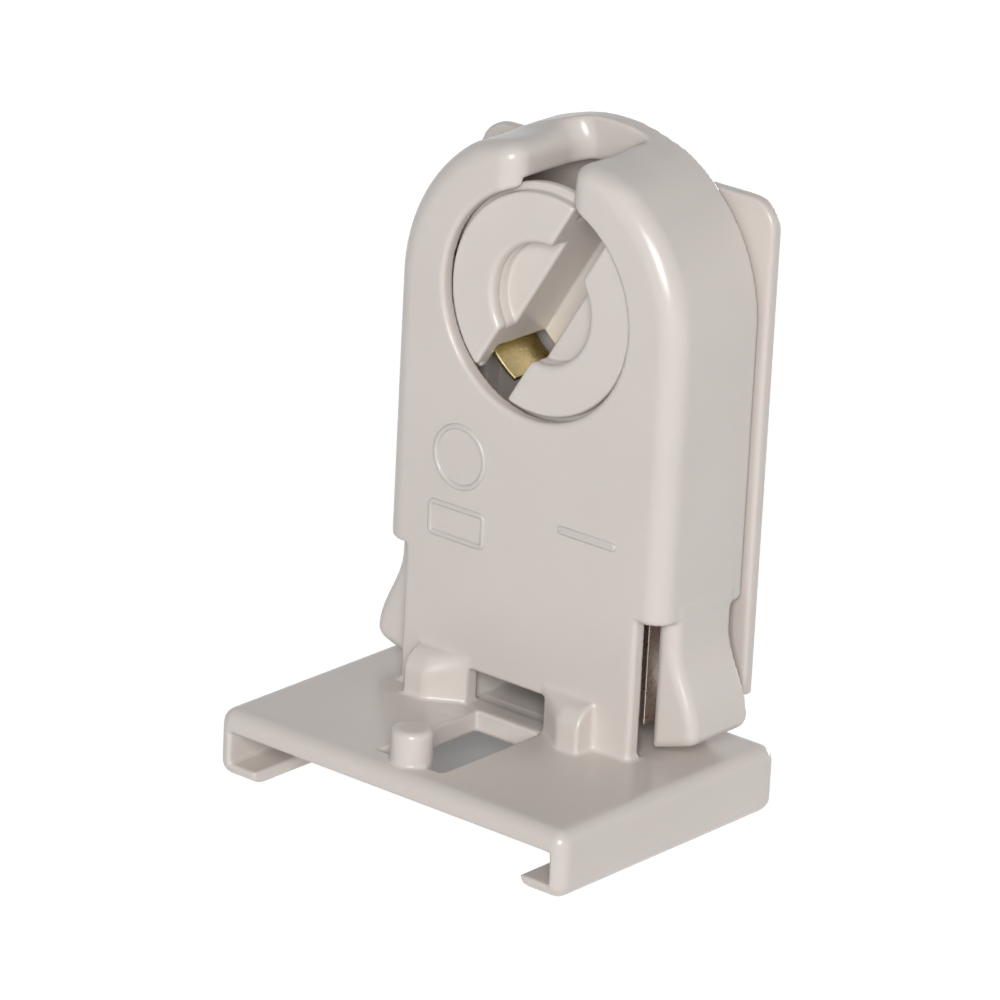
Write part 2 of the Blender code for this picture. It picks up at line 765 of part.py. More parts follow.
def contact_path():
    """Up the wall from the terminal, round under the arch and back down beside the rotor."""
    lamp_axis = (0.0, LAMP_AXIS_HEIGHT)
    jog_top = SHOULDER_HEIGHT + TERMINAL_JOG_LIFT
    jog_shift = outer_leg_x - TERMINAL_X
    path = [
        (TERMINAL_X, FOOT_HEIGHT + TERMINAL_FOOT_GAP),
        (TERMINAL_X, jog_top - TERMINAL_JOG),
        (TERMINAL_X + jog_shift / 6, jog_top - TERMINAL_JOG * 3 / 4),
        (outer_leg_x - jog_shift / 6, jog_top - TERMINAL_JOG / 4),
        (outer_leg_x, jog_top),
    ]
    path += arc(lamp_axis, outer_leg_x, 0, CONTACT_TOP_DEG)
    turn_radius = (outer_leg_x - CONTACT_RADIUS) / 2
    turn_at = arc(lamp_axis, CONTACT_RADIUS + turn_radius, CONTACT_TOP_DEG, CONTACT_END_DEG)[0]
    path += arc(turn_at, turn_radius, CONTACT_TOP_DEG, CONTACT_TOP_DEG + 180, 20)[1:]
    steps = math.ceil((CONTACT_TOP_DEG - CONTACT_END_DEG) / ARC_STEP_DEG)
    for i in range(1, steps + 1):
        angle = CONTACT_TOP_DEG + (CONTACT_END_DEG - CONTACT_TOP_DEG) * i / steps
        bulge = CONTACT_BULGE * math.exp(-((angle / CONTACT_BULGE_DEG) ** 2))
        radius = CONTACT_RADIUS - bulge
        across = radius * math.cos(math.radians(angle))
        path.append((across, LAMP_AXIS_HEIGHT + radius * math.sin(math.radians(angle))))
    return path


def make_contacts():
    for side in (1, -1):
        path = [(side * x, z) for x, z in contact_path()]
        strip_along(
            f"contact_{name_of(side)}", path, strip_front, strip_front + STRIP_WIDTH, STRIP, "Y", brass
        )


def make_wire_clamps():
    """A steel leaf in each terminal, folded back so that its tip presses a wire on the strip."""
    anchor_x = CHAMBER_INNER_X + RUNNING_GAP + LEAF / 2
    fold_y = tower_back - LEAF_FOLD_ROOM
    tip_x = TERMINAL_X - STRIP / 2 - RUNNING_GAP - LEAF / 2
    path = [(anchor_x, cavity_front + LEAF_FOOT_SETBACK), (anchor_x, fold_y)]
    path += arc((anchor_x + LEAF_FOLD_RADIUS, fold_y), LEAF_FOLD_RADIUS, 150, 30, 30)
    path += [(tip_x, fold_y - LEAF_TONGUE)]
    for side in (1, -1):
        bent = [(side * x, y) for x, y in path]
        strip_along(
            f"wire_clamp_{name_of(side)}",
            bent,
            clamp_height - LEAF_HEIGHT / 2,
            clamp_height + LEAF_HEIGHT / 2,
            LEAF,
            "Z",
            steel,
        )


clear_scene()
pieces = new_collection(OBJECT_NAME, hidden=False)
helpers = new_collection("cutters_and_joined_shapes", hidden=True)
plastic = new_material("white_plastic", (0.62, 0.58, 0.545), 0.3)
cover_plastic = new_material("cover_plastic", (0.60, 0.56, 0.52), 0.35)
brass = new_material("contact_brass", (0.55, 0.38, 0.12), 0.3, metallic=1.0)
steel = new_material("spring_steel", (0.45, 0.45, 0.46), 0.3, metallic=1.0)
make_housing()
make_rear_cover()
make_rotor()
make_contacts()
make_wire_clamps()
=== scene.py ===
"""A rotary lamp holder for a fluorescent tube, dressed in moulded plastic, brass and spring steel.

Lengths are in metres. +Z is up, the lamp side faces -Y and the foot stands on the floor at Z 0.
Each moulded piece is worked out as a field: the signed distance to its surface at every point of
a grid. Pieces of a field are joined, cut and rounded with formulas, and the surface is then drawn
through the places where the field is zero.
"""

import math

import bpy
import mathutils
import numpy as np
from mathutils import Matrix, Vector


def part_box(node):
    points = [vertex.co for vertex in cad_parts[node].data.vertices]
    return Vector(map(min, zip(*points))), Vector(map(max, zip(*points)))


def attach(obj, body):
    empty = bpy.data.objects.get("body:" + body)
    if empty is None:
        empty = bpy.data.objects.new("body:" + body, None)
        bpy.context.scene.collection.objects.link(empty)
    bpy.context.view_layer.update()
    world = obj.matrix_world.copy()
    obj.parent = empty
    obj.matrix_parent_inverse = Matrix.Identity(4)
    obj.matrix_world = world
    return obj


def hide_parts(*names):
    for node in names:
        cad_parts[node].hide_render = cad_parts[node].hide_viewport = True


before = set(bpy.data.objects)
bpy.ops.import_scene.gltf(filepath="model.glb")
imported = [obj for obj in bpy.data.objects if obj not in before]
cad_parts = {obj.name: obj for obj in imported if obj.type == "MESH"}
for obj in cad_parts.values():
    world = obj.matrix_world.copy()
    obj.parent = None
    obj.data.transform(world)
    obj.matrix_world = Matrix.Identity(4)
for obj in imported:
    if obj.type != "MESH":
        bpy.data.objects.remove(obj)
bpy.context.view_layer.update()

bl_info = {
    "name": "Lamp Holder Looks",
    "version": (1, 0, 0),
    "blender": (4, 5, 0),
    "location": "3D View > Sidebar > Lamp Holder",
    "description": "Builds a moulded lamp holder round its fixed frame, with its finishes and stage",
    "category": "Object",
}

HOLDER = "holder"
ROTOR = "rotor"

# Tower with its cover from front to back, the cover's thickness, and the pivot's hold
TOWER_DEPTH = 0.011
COVER_PLATE = 0.0011
PIVOT_HOLD = 0.0007

# Clearances: seated pieces, a barb above the foot, a barb beside the leg, a tongue at its strip
SEAT_GAP = 0.00025
BARB_FOOT_GAP = 0.0005
BARB_INNER_GAP = 0.0003
TONGUE_GAP = 0.0003

# Wide and narrow lap of a joined shape into its neighbour, a sliver that keeps two faces apart,
# and how far a cut reaches past what it cuts, near and far
TUCK = 0.0012
LAP = TUCK / 2
SLIVER = 0.0001
PAST = 0.0005
FAR_PAST = 0.001

# Roundings of small edges and of the corners where shapes meet
HAIR_ROUND = 0.00015
SMALL_ROUND = 0.0002
SLOT_ROUND = 0.00025
SOFT_ROUND = 0.0003
ROOT_ROUND = 0.0004

# Smallest divisor
TINY = 1e-12

# Grid round a box, in steps: start before it and end after it
GRID_BEFORE = 2.37
GRID_AFTER = 3.1

# Moves that bring a surface's corners to zero, and the longest one in steps
SETTLING_MOVES = 3
LONGEST_MOVE = 0.4

# Mouth: depth over which the lips' rounding fades, and the share of the fillet at the right lip
LIP_FADE = 0.004
LEAST_FILLET = 0.3

# Share of a rib's rounded top that is followed, short of its upright end
RIB_RISE_LIMIT = 0.999

# Tower's inside: turn round a barb's tip, how far the leg reaches past the shoulder, room in
# front of and behind the chambers, and depth of the sill
BARB_UNDERSIDE = math.radians(72)
LEG_RISE = 0.002
CHAMBER_SETBACK = 0.0007
CHAMBER_BACK_ROOM = 0.0012
SILL_DEPTH = 0.0011

# Rear cover: rim round its shallow panel, the panel's depth, and height of the rails' lower end
PANEL_MARGIN = 0.0022
PANEL_DEPTH = 0.0003
RAIL_FOOT = 0.0174

# Strips: distance between points, rounds of easing for a contact and a leaf, length of a
# leaf's tongue, and start and end of its fold
STRIP_STEP = 0.00012
CONTACT_EASING = 12
LEAF_EASING = 6
TONGUE = 0.0034
FOLD_START = math.radians(170)
FOLD_END = math.radians(20)

# Points round each corner of a strip's profile, and the angle from which its edges look sharp
CORNER_POINTS = 4
SHARP_ANGLE = math.radians(50)

# Rounding of the raised frame's corners
FRAME_CORNER = 0.0003

# Plastic: how far light of each colour spreads below the surface, and the depth of that spread
LIGHT_SPREAD = (1.0, 0.6, 0.4)
LIGHT_DEPTH = 0.0012

# Grain: how much finer the relief is than the changes of tone, and its depth
FINER_GRAIN = 9
GRAIN_DEPTH = 0.00005

# Middle of the object, where the camera and the lamps look
AIM = np.array([0.0, 0.0, 0.025])

# Lamps: name, place, width and height, power
LAMPS = (
    ("front", (0.49, -0.67, 0.37), (0.35, 0.35), 6.3),
    ("back", (0.75, 0.5, 0.4), (0.6, 0.6), 0.55),
    ("rear", (0.0, 0.95, 0.09), (0.5, 0.12), 4.0),
)

# Half the floor's width
FLOOR_HALF_WIDTH = 3.0

# Floor as the camera sees it: its colour, its glow, the glow in a painted shadow under the foot,
# the fade between the two, and the middle and half size of the painted shadow's rectangle
FLOOR_SEEN = (0.4, 0.4, 0.4)
FLOOR_GLOW = 0.86
PAINTED_SHADOW_GLOW = 0.12
PAINTED_SHADOW_FADE = 0.003
PAINTED_SHADOW_BOX = (("X", 0.0, 0.0155), ("Y", 0.0035, 0.0085))

# Even light of the world on the object
WORLD_LIGHT = 0.14

# Camera: turn round the object, rise, roll, distance, lens and shift
CAMERA_TURN = math.radians(39.24)
CAMERA_RISE = math.radians(20.115)
CAMERA_ROLL = math.radians(-2.939)
CAMERA_DISTANCE = 0.5
CAMERA_LENS = 244.22
CAMERA_SHIFT = (-0.01069, -0.02106)


def plain(box):
    """A box's corners as plain lists of numbers."""
    return [[float(value) for value in corner] for corner in box]


housing_low, housing_high = plain(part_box("housing"))
rotor_low, rotor_high = plain(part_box("rotor"))
cover_low, cover_high = plain(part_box("rear_cover"))
strip_low, strip_high = plain(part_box("contact_right"))
leaf_low, leaf_high = plain(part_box("wire_clamp_right"))
lamp_axis_z = (rotor_low[2] + rotor_high[2]) / 2
rotor_face = rotor_low[1]
face_y = cover_high[1] - TOWER_DEPTH


def length(name, description, default):
    """A size that a user can change."""
    return bpy.props.FloatProperty(
        name=name, description=description, default=default, unit="LENGTH", precision=5
    )


def angle_of(name, description, degrees):
    """An angle that a user can change."""
    return bpy.props.FloatProperty(
        name=name, description=description, default=math.radians(degrees), subtype="ANGLE"
    )


def colour(name, description, default):
    """A colour that a user can change."""
    return bpy.props.FloatVectorProperty(
        name=name, description=description, default=default, subtype="COLOR", size=3, min=0, max=1
    )


def share(name, description, default):
    """A plain number from 0 to 1."""
    return bpy.props.FloatProperty(name=name, description=description, default=default, min=0, max=1)


class HousingSizes(bpy.types.PropertyGroup):
    """Sizes of the foot and tower."""

    pitch: length("Pitch", "Distance between points of the grid", 0.00028)
    tower_half_width: length("Tower half width", "Middle of the tower to its side", 0.0135)
    arch_drop: length("Arch drop", "How far the arch's centre lies below the lamp's axis", 0.0006)
    front_wall: length("Front wall", "Thickness of the tower's face", 0.0013)
    side_wall: length("Side wall", "Thickness of the tower's sides", 0.0013)
    edge_round: length("Edge round", "Rounding of the tower's front edge", 0.0018)
    fine_round: length("Fine round", "Rounding of small edges", 0.00028)
    shoulder: length("Shoulder height", "Where the rounded sides end", 0.0164)
    leg_half_width: length("Leg half width", "Half the width of the face below the shoulder", 0.0112)
    mouth_width: length("Mouth width", "Gap that lets the pins in", 0.0048)
    lip_round: length("Lip round", "Rounding where the mouth meets the arch", 0.0019)
    mouth_wall: length("Mouth back wall", "Thickness of the wall behind the mouth", 0.00165)
    mouth_fillet: length("Mouth fillet", "Rounding between the left lip and the wall behind", 0.0022)
    mouth_step: length("Mouth step", "How far the wall behind the mouth stays below the arch", 0.00015)
    crown_half_width: length("Crown half width", "Half the solid plastic's width at the mouth", 0.0056)
    bore_gap: length("Bore gap", "Clearance round the rotor's face", 0.0003)
    rotor_radius: length("Rotor radius", "Radius of the rotor's face", 0.0085)
    flange_room: length("Flange room", "Radius of the room for the rotor's flange", 0.0094)
    foot_height: length("Foot height", "Top of the foot's plate", 0.00535)
    foot_plate: length("Foot plate", "Thickness of the foot's plate", 0.0018)
    foot_wall: length("Foot wall", "Thickness of the foot's sides", 0.0013)
    foot_lip: length("Foot lip", "Thickness of the lips under the foot", 0.0011)
    lip_reach: length("Lip reach", "How far the lips turn in", 0.0026)
    foot_round: length("Foot round", "Rounding of the foot's outer edges", 0.0012)
    cutout_width: length("Opening width", "Width of the opening in the foot's plate", 0.0061)
    cutout_margin: length("Opening margin", "Plate left in front of the opening", 0.0027)
    cutout_back: length("Opening back margin", "Opening to the tower's face", 0.00045)
    window_x: length("Window across", "Middle of the tower to the middle of the window", -0.00075)
    window_width: length("Window width", "Width of the window at the tower's foot", 0.0075)
    window_height: length("Window height", "Height of that window", 0.00275)
    peg_radius: length("Peg radius", "Radius of the stop", 0.0016)
    peg_height: length("Peg height", "How far the stop stands up", 0.0027)
    peg_round: length("Peg round", "Rounding of the stop's rim", 0.0005)
    rib_outer: length("Rib outer side", "Middle of the window to a rib's outer side", 0.00855)
    rib_ridge: length("Rib ridge", "Middle of the window to a rib's ridge", 0.00655)
    rib_depth: length("Rib depth", "How far a rib stands out", 0.0019)
    rib_height: length("Rib height", "Upright part of a rib", 0.0017)
    rib_edge: length("Rib edge", "Rounding of a rib's ridge", 0.0001)
    bore_edge: length("Bore edge", "Rounding of the bore's rim", 0.0002)
    barb_setback: length("Barb setback", "Face of the tower to the barbs", 0.002)
    barb_length: length("Barb length", "Front to back of a barb", 0.0065)
    barb_reach: length("Barb reach", "How far a barb flares out", 0.0021)
    barb_tip: length("Barb tip rise", "Plate to the barb's tip", 0.00265)
    barb_tip_round: length("Barb tip round", "Rounding under the barb's tip", 0.00115)
    barb_flare: length("Barb flare rise", "Plate to where a barb starts to flare", 0.00925)
    barb_edge: length("Barb edge", "Rounding of a barb's front edge", 0.0009)
    barb_wall: length("Barb wall", "Thickness of a barb's walls", 0.0013)
    chamber_x: length("Chamber side", "Middle of the tower to a chamber's inner side", 0.006)
    chamber_wall: length("Chamber wall", "Thickness of a chamber's wall", 0.0009)
    chamber_top: length("Chamber top", "Top of the chambers' walls", 0.016)


class RotorSizes(bpy.types.PropertyGroup):
    """Sizes of the rotor."""

    pitch: length("Pitch", "Distance between points of the grid", 0.00017)
    disc_radius: length("Disc radius", "Radius of the face", 0.0085)
    flange_front: length("Flange setback", "Face to the front of the flange", 0.00085)
    flange_thickness: length("Flange thickness", "Thickness of the flange", 0.00075)
    drum_radius: length("Drum radius", "Radius behind the flange", 0.007)
    slot_width: length("Slot width", "Width of the slot for the pins", 0.0036)
    slot_depth: length("Slot depth", "Depth of the slot", 0.0069)
    recess_radius: length("Recess radius", "Radius of the round recess in the face", 0.0046)
    recess_depth: length("Recess depth", "Depth of that recess", 0.0019)
    recess_round: length("Recess round", "Rounding of the recess's rim", 0.0005)
    rim_round: length("Rim round", "Rounding of the face's rim", 0.0002)
    pivot_radius: length("Pivot hole radius", "Radius of the hole in the back", 0.0024)
    pivot_depth: length("Pivot hole depth", "Depth of the hole in the back", 0.001)
    tilt: angle_of("Tilt", "Turn of the slot at rest", 31)


class CoverSizes(bpy.types.PropertyGroup):
    """Sizes of the rear cover."""

    pitch: length("Pitch", "Distance between points of the grid", 0.00026)
    plate: length("Plate", "Thickness of the cover", COVER_PLATE)
    corner: length("Corner", "Rounding of the upper corners", 0.0024)
    edge_round: length("Edge round", "Rounding of the cover's edges", 0.0003)
    rail: length("Rail", "Thickness of the rails inside the tower", 0.001)
    rail_gap: length("Rail gap", "Outer side of the contacts to the rails' outer side", 0.00005)
    pivot_radius: length("Pivot radius", "Radius of the rotor's pivot", 0.0021)
    hole_radius: length("Wire hole radius", "Radius of a wire hole", 0.001)
    hole_pitch: length("Wire hole pitch", "Distance between two wire holes", 0.003)
    hole_x: length("Wire hole side", "Middle of the cover to its wire holes", 0.0088)
    hole_z: length("Wire hole height", "Height between the two rows of holes", 0.0117)


class StripSizes(bpy.types.PropertyGroup):
    """Sizes of the brass contacts and the steel leaves."""

    strip: length("Strip", "Thickness of the brass", 0.0004)
    leaf: length("Leaf", "Thickness of the steel", 0.00035)
    corner: length("Corner", "Rounding of a strip's long edges", 0.0001)
    contact_radius: length("Contact radius", "Radius of the contacts round the rotor", 0.0083)
    bulge: length("Bulge", "How far a contact bends in to the pin", 0.0008)
    bulge_width: angle_of("Bulge width", "Half angle of the bulge", 13)
    top_angle: angle_of("Top angle", "Where a contact turns back", 24)
    end_angle: angle_of("End angle", "Where a contact ends", -62)
    terminal_x: length("Terminal side", "Middle of the holder to the terminal's strip", 0.01)
    jog: length("Jog", "Height of the jog above the terminal", 0.0032)
    jog_top: length("Jog top", "Height of the jog's upper end", 0.0185)
    fold: length("Fold", "Radius of a leaf's fold", 0.0008)


class MarkSizes(bpy.types.PropertyGroup):
    """Sizes of the plain raised marks on the tower's face."""

    raise_by: length("Raise", "How far the marks stand out", 0.0002)
    line: length("Line", "Width of the marks' lines", 0.00045)
    ring_x: length("Ring across", "Place of the ring", -0.0063)
    ring_z: length("Ring height", "Height of the ring", 0.0246)
    ring_radius: length("Ring radius", "Radius of the ring", 0.0026)
    frame_x: length("Frame across", "Place of the frame", -0.0063)
    frame_z: length("Frame height", "Height of the frame", 0.0193)
    frame_width: length("Frame width", "Width of the frame", 0.0056)
    frame_height: length("Frame height across", "Height of the frame itself", 0.0029)
    bar_x: length("Bar across", "Place of the bar", 0.0062)
    bar_z: length("Bar height", "Height of the bar", 0.0216)
    bar_width: length("Bar width", "Length of the bar", 0.0054)


class Finishes(bpy.types.PropertyGroup):
    """Colours and gloss of the materials."""

    housing: colour("Housing", "Colour of the housing", (0.68, 0.625, 0.585))
    cover: colour("Cover", "Colour of the rear cover", (0.655, 0.60, 0.56))
    rotor: colour("Rotor", "Colour of the rotor", (0.70, 0.645, 0.605))
    brass: colour("Brass", "Colour of the contacts", (1.0, 0.83, 0.46))
    # Dull brass stands for tarnish and for painted shade on the terminals in the slit
    dull_shaded_brass: colour("Dull brass", "Colour of the contacts at their terminals", (0.78, 0.68, 0.62))
    steel: colour("Steel", "Colour of the wire clamps", (0.5, 0.49, 0.47))
    gloss: share("Roughness", "Roughness of the plastic", 0.24)
    floor: colour("Floor", "Colour of the floor", (0.9, 0.9, 0.9))


def outward(value):
    """The value where it is above zero."""
    return np.maximum(value, 0.0)


def joined(a, b, radius):
    """Union of two fields whose inner corner is filled by an arc of the given radius."""
    near = np.hypot(outward(radius - a), outward(radius - b))
    return np.maximum(radius, np.minimum(a, b)) - near


def common(a, b, radius):
    """Intersection of two fields whose edge is rounded by an arc of the given radius."""
    near = np.hypot(outward(radius + a), outward(radius + b))
    return np.minimum(-radius, np.maximum(a, b)) + near


def carved(a, b, radius):
    """First field without the second, with the edge rounded by an arc."""
    return common(a, -b, radius)


def overlap(first, *others):
    """Intersection of any number of fields with a sharp edge."""
    for other in others:
        first = np.maximum(first, other)
    return first


def between(value, low, high):
    """Distance to a slab between two planes, less than zero inside."""
    return np.abs(value - (low + high) / 2) - (high - low) / 2


def bar_field(x, y, z, low, high, radius):
    """Distance to a box between two corners whose edges are rounded by an arc."""
    parts = [between(v, a + radius, b - radius) for v, a, b in zip((x, y, z), low, high)]
    outside = np.sqrt(sum(outward(part) ** 2 for part in parts))
    inside = np.minimum(overlap(*parts), 0.0)
    return outside + inside - radius


def outline_field(u, v, points):
    """Distance to a closed outline of straight lines: the nearest line's distance, less than
    zero where a ray to one side crosses the outline an odd number of times."""
    nearest = np.full(np.broadcast(u, v).shape, np.inf)
    odd = np.zeros(nearest.shape, bool)
    for (u0, v0), (u1, v1) in zip(points, points[1:] + points[:1]):
        along_u, along_v = u1 - u0, v1 - v0
        part = np.clip(((u - u0) * along_u + (v - v0) * along_v) / (along_u**2 + along_v**2), 0, 1)
        nearest = np.minimum(nearest, np.hypot(u - u0 - part * along_u, v - v0 - part * along_v))
        if v0 != v1:
            odd ^= ((v0 > v) != (v1 > v)) & (u < u0 + (v - v0) * along_u / along_v)
    return np.where(odd, -nearest, nearest)


def field_grid(low, high, pitch):
    """X, Y and Z of a grid that reaches past a box on all sides, ready to be broadcast."""
    before, after = GRID_BEFORE * pitch, GRID_AFTER * pitch
    spans = [np.arange(a - before, b + after, pitch) for a, b in zip(low, high)]
    return spans[0][:, None, None], spans[1][None, :, None], spans[2][None, None, :]


def sampled(field, places):
    """Value of a field between grid points, mixed from the eight round each place."""
    base = np.clip(np.floor(places).astype(int), 0, np.array(field.shape) - 2)
    part = places - base
    total = np.zeros(len(places))
    for corner in np.ndindex(2, 2, 2):
        weight = np.prod(np.where(corner, part, 1 - part), axis=1)
        i, j, k = (base + corner).T
        total += weight * field[i, j, k]
    return total


def slope(field, places):
    """Direction in which a field grows, from its change over one grid step."""
    steps = np.eye(3) * 0.5
    return np.stack([sampled(field, places + s) - sampled(field, places - s) for s in steps], axis=1)


def drawn_surface(field):
    """Closed surface where a field is zero. Each grid cell that the surface crosses gets one
    corner, at the mean of the crossings on the cell's edges and then moved down the field's slope
    to zero. Each grid edge that crosses the surface gets one face, between the four cells round
    it, turned to look along the slope."""
    inside = field < 0
    spans = [slice(None, -1), slice(1, None)]
    count = sum(inside[spans[i], spans[j], spans[k]].astype(int) for i, j, k in np.ndindex(2, 2, 2))
    cells = np.argwhere((count > 0) & (count < 8))
    number = np.full(count.shape, -1)
    number[tuple(cells.T)] = np.arange(len(cells))
    total = np.zeros(cells.shape)
    hits = np.zeros(len(cells))
    for axis in range(3):
        step = np.eye(3, dtype=int)[axis]
        for i, j in np.ndindex(2, 2):
            corner = np.insert((i, j), axis, 0)
            start = field[tuple((cells + corner).T)]
            end = field[tuple((cells + corner + step).T)]
            crossed = (start < 0) != (end < 0)
            part = np.where(crossed, start / np.where(crossed, start - end, 1), 0)
            total += crossed[:, None] * (corner + part[:, None] * step)
            hits += crossed
    corners = cells + total / hits[:, None]
    for _ in range(SETTLING_MOVES):
        grows = slope(field, corners)
        steep = np.maximum((grows**2).sum(1), TINY)[:, None]
        move = sampled(field, corners)[:, None] * grows / steep
        corners = corners - np.clip(move, -LONGEST_MOVE, LONGEST_MOVE)
    faces = []
    for axis in range(3):
        one = np.take(inside, range(field.shape[axis] - 1), axis)
        other = np.take(inside, range(1, field.shape[axis]), axis)
        for leaves in (True, False):
            edges = np.argwhere(one & ~other if leaves else other & ~one)
            side, up = np.eye(3, dtype=int)[(axis + 1) % 3], np.eye(3, dtype=int)[(axis + 2) % 3]
            around = [edges - side - up, edges - up, edges, edges - side]
            ring = np.stack([number[tuple(cell.T)] for cell in around], axis=1)
            faces.append(ring if leaves else ring[:, ::-1])
    return corners, np.concatenate(faces), slope(field, corners)


def moulded_piece(name, field, grid, pitch):
    """Mesh of a field's surface, shaded by the field's own slope."""
    corners, faces, normals = drawn_surface(field)
    origin = np.array([span.ravel()[0] for span in grid])
    piece = surface_piece(name, origin + corners * pitch, faces)
    lengths = np.linalg.norm(normals, axis=1, keepdims=True)
    piece.data.normals_split_custom_set_from_vertices(normals / np.maximum(lengths, TINY))
    return piece


def surface_piece(name, points, faces):
    """Object at the origin with a mesh of the given points and faces."""
    mesh = bpy.data.meshes.new(name)
    mesh.vertices.add(len(points))
    mesh.vertices.foreach_set("co", np.asarray(points, np.float32).ravel())
    faces = np.asarray(faces)
    mesh.loops.add(faces.size)
    mesh.loops.foreach_set("vertex_index", faces.ravel().astype(np.int32))
    mesh.polygons.add(len(faces))
    mesh.polygons.foreach_set("loop_start", np.arange(0, faces.size, faces.shape[1], dtype=np.int32))
    mesh.update(calc_edges=True)
    mesh.validate()
    mesh.shade_smooth()
    piece = bpy.data.objects.new(name, mesh)
    bpy.context.scene.collection.objects.link(piece)
    return piece


def ring_faces(rows, columns, closed_rows=False):
    """Faces between the points of a grid whose columns close on themselves, as its rows may."""
    i, j = np.meshgrid(np.arange(rows if closed_rows else rows - 1), np.arange(columns), indexing="ij")
    after_i, after_j = (i + 1) % rows, (j + 1) % columns
    corners = ((i, j), (i, after_j), (after_i, after_j), (after_i, j))
    return np.stack([row * columns + column for row, column in corners], -1).reshape(-1, 4)


def arc_points(centre, radius, start, end, count):
    """Points at even angles along an arc, both ends included."""
    angles = np.linspace(start, end, count)
    return np.stack([centre[0] + radius * np.cos(angles), centre[1] + radius * np.sin(angles)], 1)


def evenly(path, step):
    """The same path with points at even distances."""
    gaps = np.linalg.norm(np.diff(path, axis=0), axis=1)
    along = np.concatenate([[0], np.cumsum(gaps)])
    wanted = np.linspace(0, along[-1], max(int(along[-1] / step), 8))
    return np.stack([np.interp(wanted, along, path[:, i]) for i in range(path.shape[1])], 1)


def eased(path, rounds):
    """A path whose corners are softened: each inner point moves halfway to the middle of its
    two neighbours, a number of times."""
    path = path.copy()
    for _ in range(rounds):
        path[1:-1] = (path[:-2] + 2 * path[1:-1] + path[2:]) / 4
    return path


def strip_piece(name, path, low, high, thickness, corner, upright):
    """A folded strip: a thin profile with rounded corners carried along a path. The path lies in
    the XZ plane with the strip's width along Y, or in the XY plane with its width along Z."""
    along = np.gradient(path, axis=0)
    along /= np.linalg.norm(along, axis=1, keepdims=True)
    across = np.stack([-along[:, 1], along[:, 0]], 1)
    quarter = np.linspace(0, math.pi / 2, CORNER_POINTS)
    turns = (np.arange(4)[:, None] * math.pi / 2 + quarter).ravel()
    half = np.array([thickness / 2 - corner, (high - low) / 2 - corner])
    signs = np.array([[1, 1], [-1, 1], [-1, -1], [1, -1]]).repeat(CORNER_POINTS, axis=0)
    profile = signs * half + corner * np.stack([np.cos(turns), np.sin(turns)], 1)
    flat = path[:, None, :] + across[:, None, :] * profile[None, :, :1]
    depth = np.broadcast_to((low + high) / 2 + profile[None, :, 1:], (len(path), len(profile), 1))
    points = np.concatenate([flat[..., :1], depth, flat[..., 1:]] if upright else [flat, depth], -1)
    rows, columns = points.shape[:2]
    points = points.reshape(-1, 3)
    ends = [points[:columns].mean(0), points[-columns:].mean(0)]
    wheel = np.arange(columns)
    after = (wheel + 1) % columns
    last = (rows - 1) * columns
    first_fan = np.stack([np.full(columns, len(points)), after, wheel], 1)
    last_fan = np.stack([np.full(columns, len(points) + 1), last + wheel, last + after], 1)
    fans = np.concatenate([first_fan, last_fan])
    return mixed_piece(name, np.concatenate([points, ends]), ring_faces(rows, columns), fans)


def mixed_piece(name, points, quads, triangles):
    """Object at the origin with faces of four and of three corners, looking outwards."""
    mesh = bpy.data.meshes.new(name)
    mesh.from_pydata(points.tolist(), [], quads.tolist() + triangles.tolist())
    mesh.update()
    piece = bpy.data.objects.new(name, mesh)
    bpy.context.scene.collection.objects.link(piece)
    face_outwards(piece)
    mesh.shade_smooth()
    mesh.set_sharp_from_angle(angle=SHARP_ANGLE)
    return piece


def face_outwards(piece):
    """Turns a closed mesh whose signed volume is less than zero."""
    mesh = piece.data
    mesh.calc_loop_triangles()
    corners = np.empty(len(mesh.vertices) * 3)
    mesh.vertices.foreach_get("co", corners)
    triangles = np.empty(len(mesh.loop_triangles) * 3, int)
    mesh.loop_triangles.foreach_get("vertices", triangles)
    a, b, c = corners.reshape(-1, 3)[triangles.reshape(-1, 3)].transpose(1, 0, 2)
    if np.einsum("ij,ij->i", a, np.cross(b, c)).sum() < 0:
        mesh.flip_normals()


def barb_section(s):
    """Outline of a barb on the right: down the wall, out along an S-shaped curve (three times
    the square less twice the cube of the way down), round the tip and back up inside."""
    tip_x, tip_z = s.tower_half_width + s.barb_reach, s.foot_height + s.barb_tip
    top_z = s.foot_height + s.barb_flare
    part = np.linspace(0, 1, num=19)
    flare_x = s.tower_half_width + s.barb_reach * part**2 * (3 - 2 * part)
    flare_z = top_z - (top_z - tip_z) * part
    tip_at = (tip_x - s.barb_tip_round, tip_z)
    tip = arc_points(tip_at, s.barb_tip_round, 0, -BARB_UNDERSIDE, count=9)[1:]
    inner = s.leg_half_width + BARB_INNER_GAP
    cavity = s.tower_half_width - s.side_wall
    top = s.shoulder + TUCK
    outline = [(s.tower_half_width, top)] + list(zip(flare_x.tolist(), flare_z.tolist()))
    outline += [(float(a), float(b)) for a, b in tip]
    outline += [(inner, s.foot_height + BARB_FOOT_GAP), (inner, s.shoulder - LAP), (cavity, top)]
    return outline


def barb_pocket(s):
    """Outline of the hollow in a barb on the right."""
    tip_x, tip_z = s.tower_half_width + s.barb_reach, s.foot_height + s.barb_tip
    inner = s.leg_half_width - s.barb_wall
    floor = s.foot_height + BARB_FOOT_GAP + s.barb_wall
    roof = s.shoulder - TUCK
    return [
        (inner, floor),
        (s.leg_half_width + BARB_INNER_GAP, floor),
        (tip_x - s.barb_wall, tip_z + s.barb_tip_round / 4),
        (s.tower_half_width - s.barb_wall / 2, (roof + tip_z) / 2),
        (s.tower_half_width - s.side_wall, roof),
        (inner, roof),
    ]


